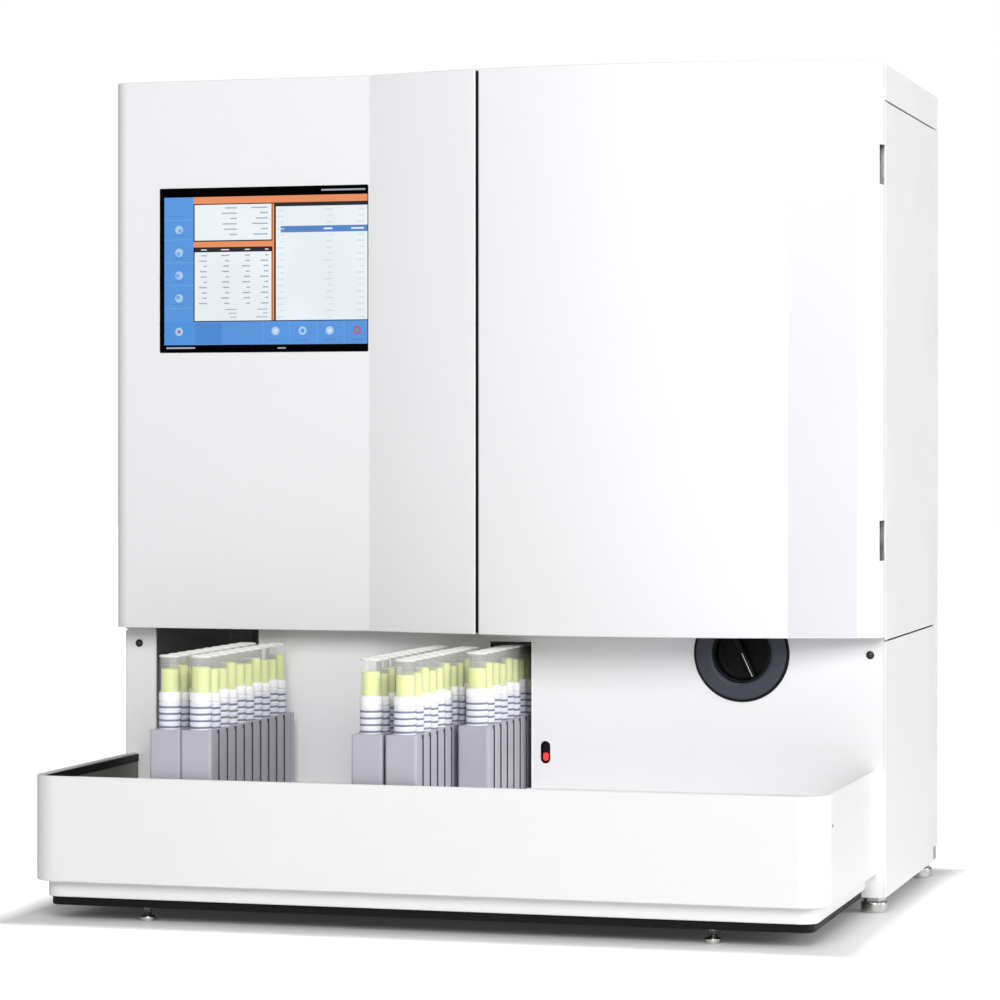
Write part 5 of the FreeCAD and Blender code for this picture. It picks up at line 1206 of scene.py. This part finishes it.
def tube_rim_highlight():
    """A bead round the mouth: a small circle carried round the tube."""
    bead = edge_arc(TUBE - GLASS / 2, tube_top - RIM_BEAD, RIM_BEAD, 0, 315, 7)
    return turned(bead, ORIGIN, "z", TUBE_SIDES, True)


def sample(level):
    """The liquid: a bowl, a wall, and a top that dips from the wall to the middle."""
    radius = TUBE - GLASS - LIQUID_GAP
    top = [(radius, level + MENISCUS), (radius * 0.93, level + MENISCUS * 0.35),
           (radius * 0.75, level + MENISCUS * 0.05), (0, level)]
    return turned(np.concatenate([bowl_arc(radius, GLASS + LIQUID_GAP), top]), ORIGIN, "z", TUBE_SIDES)


def sleeve():
    """The ribbed sleeve: its radius swells between the rings by the square of a sine of the height."""
    z = np.linspace(rack_top + SLEEVE_FOOT, rack_top + SLEEVE_TOP, 28)
    swelling = np.sin((z - ring_up[0]) / ring_step * math.pi) ** 2
    out = np.stack([TUBE + SLEEVE_PROUD + RIB_PROUD * swelling, z], 1)
    return turned(np.concatenate([out, [(TUBE, z[-1]), (TUBE, z[0])]]), ORIGIN, "z", SLEEVE_SIDES, True)


def ring_at(z):
    """A thin dark ring in the valley between two ribs."""
    out, half = TUBE + SLEEVE_PROUD + RING_PROUD, RING_TALL / 2
    corners = [(TUBE, z - half), (out, z - half), (out, z + half), (TUBE, z + half)]
    return turned(corners, ORIGIN, "z", SLEEVE_SIDES, True)


def collar():
    """The white collar: a tall ring with broad rounds at its top and foot."""
    low, high = rack_top + SLEEVE_TOP, rack_top + COLLAR_TOP
    middle = TUBE + COLLAR_PROUD - COLLAR_ROUND
    profile = [edge_arc(middle, low + COLLAR_ROUND, COLLAR_ROUND, -70, 0),
               edge_arc(middle, high - COLLAR_ROUND, COLLAR_ROUND, 0, 75),
               [(TUBE, high - COLLAR_DIP), (TUBE, low)]]
    return turned(np.concatenate(profile), ORIGIN, "z", SLEEVE_SIDES, True)


worn_by_all = {"glass": (tube_glass(), "tube_glass", "tube_glass", False),
               "rim_highlights": (tube_rim_highlight(), "tube_rim_highlight", "tube_glass", False),
               "sleeves": (sleeve(), "label_paper", "rack_plastic", True),
               "rings": (joined([ring_at(z) for z in ring_up]), "label_band", "slate_plastic", True),
               "collars": (collar(), "tube_collar", "rack_plastic", True)}
for rack_number, name in enumerate(RACKS):
    low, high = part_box(name + "_tubes")
    places = np.array([((low.x + high.x) / 2, low.y + TUBE + n * PITCH, low.z) for n in range(TUBES)])
    lowered = places - np.outer(np.arange(TUBES) % 2, (0, 0, STAGGER))
    levels = [tube_top - LEVEL_BELOW_MOUTH + LEVEL_SPREAD * math.sin(2.1 * n + 1.3 * rack_number)
              for n in range(TUBES)]
    piece(name + "_samples", [moved(sample(level), place) for level, place in zip(levels, places)],
          "sample", name, slot="tube_glass")
    for part, (shape, look, slot, staggered) in worn_by_all.items():
        piece(name + "_" + part, [repeated(shape, lowered if staggered else places)], look, name, slot=slot,
              replaces=[name + "_tubes"] if part == "glass" else ())

# %% [markdown]
# ## Inside the cabinet
# With the doors open the works show: the arm, the strip track and the pump on the deck. The photograph
# has the doors shut, so all of this is a guess at how such a machine is laid out. These are the
# frame's own solids, whose edges are knife sharp. A real casting or a folded bracket has a small
# round there, so a bevel modifier adds one of a third of a millimetre, and only at sharp edges.
# %% Softened edges
SOFT_EDGE = 0.00035
SOFT_ANGLE = math.radians(50)
for name in ("arm_carriage", "photometer_head", "strip_track", "pump_body", "power_supply", "power_inlet",
             "data_ports", "fan_housing", "door_magnets", "drum_motor", "deck_guides", "tray_deck"):
    node = frame["nodes"][name]
    bevel = node.modifiers.new("soft_edges", "BEVEL")
    bevel.width, bevel.segments = SOFT_EDGE, 2
    bevel.limit_method, bevel.angle_limit = "ANGLE", SOFT_ANGLE
    shading = node.modifiers.new("even_shading", "WEIGHTED_NORMAL")
    shading.weight = EVEN_SHADING
    print(name, "softened by", SOFT_EDGE)

# %% [markdown]
# ## The circuit board
# No photograph shows the board, so its parts are the usual ones and their places are guesses. It lies
# at the bottom on stand-offs. The parts on it are of four kinds: flat black chips,
# round capacitors, pale plug sockets at its rear edge, and a finned cooler on the power stage. All are
# blocks or cans with softened edges, placed by their distance from the board's corner.
# %% Board, chips and sockets
board_low, board_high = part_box("main_board")
STAND_OFF, BOARD_SHEET, BOARD_CORNER, POST_IN = 0.01, 0.0016, 0.002, 0.006
CHIPS = ((0.035, 0.035, 0.013), (0.08, 0.03, 0.008), (0.08, 0.055, 0.008), (0.05, 0.07, 0.006),
         (0.11, 0.07, 0.005))
CANS = 5
CAN_RADIUS, CAN_TALL, CAN_STEP = 0.0042, 0.013, 0.0105
SOCKETS, SOCKET_WIDE, SOCKET_DEEP, SOCKET_TALL, SOCKET_STEP = 4, 0.018, 0.009, 0.011, 0.024
FINS, FIN, FIN_STEP, FIN_LONG = 8, 0.0012, 0.0034, 0.036
CHIP_TALL, PIN_TALL, PIN_OUT, PIN_SHARE = 0.0022, 0.0006, 0.002, 1.7
EDGE_IN, POST_RADIUS, BOARD_EDGE = 0.008, 0.003, 0.0002
CANS_AT, FIRST_SOCKET, COOLER_AT = (0.125, 0.02), 0.03, (0.142, 0.04)
board_top = board_low.z + STAND_OFF + BOARD_SHEET


def can(place, radius, tall, axis="z", sides=24, edge=0.0004):
    """A round can: a flat foot, a straight wall, and small rounds at both rims."""
    profile = np.concatenate([[(0, 0)], edge_arc(radius - edge, edge, edge, -90, 0, 2),
                              edge_arc(radius - edge, tall - edge, edge, 0, 90, 3), [(0, tall)]])
    return turned(profile, place, axis, sides)


def on_board(x, y, wide, deep, tall, z=0.0):
    """A block about a place on the board, given by its distance from the board's left front corner."""
    x, y, z = board_low.x + x, board_low.y + y, board_top + z
    return block(x - wide / 2, x + wide / 2, y - deep / 2, y + deep / 2, z, z + tall)


sheet = slab(rectangle(board_low.x, board_high.x, board_low.y, board_high.y, BOARD_CORNER),
             board_low.z + STAND_OFF, board_top, BOARD_EDGE, 1)
posts = [can((x, y, board_low.z), POST_RADIUS, STAND_OFF)
         for x in (board_low.x + POST_IN, board_high.x - POST_IN)
         for y in (board_low.y + POST_IN, board_high.y - POST_IN)]
piece("board_sheet", [sheet], "board_green", replaces=["main_board"])
chips = [on_board(x, y, 2 * half, 2 * half, CHIP_TALL, PIN_TALL) for x, y, half in CHIPS]
pins = [on_board(x, y, 2 * half + PIN_OUT, PIN_SHARE * half, PIN_TALL) for x, y, half in CHIPS]
piece("board_chips", chips, "black_trim")
piece("board_pins", pins + posts, "galvanised")
cans_x, cans_y = board_low.x + CANS_AT[0], board_low.y + CANS_AT[1]
cans = [can((cans_x, cans_y + n * CAN_STEP, board_top), CAN_RADIUS, CAN_TALL) for n in range(CANS)]
piece("board_capacitors", cans, "slate_plastic")
socket_y = board_high.y - board_low.y - EDGE_IN
sockets = [on_board(FIRST_SOCKET + n * SOCKET_STEP, socket_y, SOCKET_WIDE, SOCKET_DEEP, SOCKET_TALL)
           for n in range(SOCKETS)]
piece("board_sockets", sockets, "roller_plastic")
fin_x, fin_y = COOLER_AT
fins = [on_board(fin_x + n * FIN_STEP, fin_y, FIN, FIN_LONG, board_high.z - board_top) for n in range(FINS)]
fins.append(on_board(fin_x + (FINS - 1) * FIN_STEP / 2, fin_y, FINS * FIN_STEP, FIN_LONG, FIN))
piece("board_cooler", fins, "galvanised")

# %% [markdown]
# ## The back
# The back isn't seen either. Here the rear cover is held by round-headed screws, as such covers usually
# are, and a wire guard closes the fan's hole: rings of wire
# one inside the other, on a cross of two bars. A ring is a small circle turned about the fan's axis.
# %% Fan guard and rear screws
fan_low, fan_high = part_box("fan_housing")
cover_low, cover_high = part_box("rear_cover")
fan_middle = ((fan_low.x + fan_high.x) / 2, 0, (fan_low.z + fan_high.z) / 2)
WIRE, GUARD_RINGS, GUARD_STEP = 0.0008, 4, 0.0095
SCREW_IN, SCREW_RADIUS, SCREW_TALL, SCREW_ROUND_SHARE = 0.014, 0.0032, 0.0014, 0.6
SCREWS_A_SIDE = 4
guard_y = cover_high.y + WIRE
radii = GUARD_STEP * np.arange(1, GUARD_RINGS + 1)
guard = [turned(edge_arc(r, guard_y, WIRE, 0, 315, 7), fan_middle, "y", 48, True) for r in radii]
reach = radii[-1] + WIRE
for wide, tall in ((reach, WIRE), (WIRE, reach)):
    guard.append(block(fan_middle[0] - wide, fan_middle[0] + wide, cover_high.y, guard_y,
                       fan_middle[2] - tall, fan_middle[2] + tall))
piece("fan_guard", guard, "dark_steel", slot="galvanised")
rear_screws = []
for x in (cover_low.x + SCREW_IN, cover_high.x - SCREW_IN):
    for z in np.linspace(cover_low.z + SCREW_IN, cover_high.z - SCREW_IN, SCREWS_A_SIDE):
        rear_screws.append(can((x, cover_high.y, z), SCREW_RADIUS, SCREW_TALL, "y", 24,
                               SCREW_TALL * SCREW_ROUND_SHARE))
piece("rear_screws", rear_screws, "foot_steel", slot="galvanised")
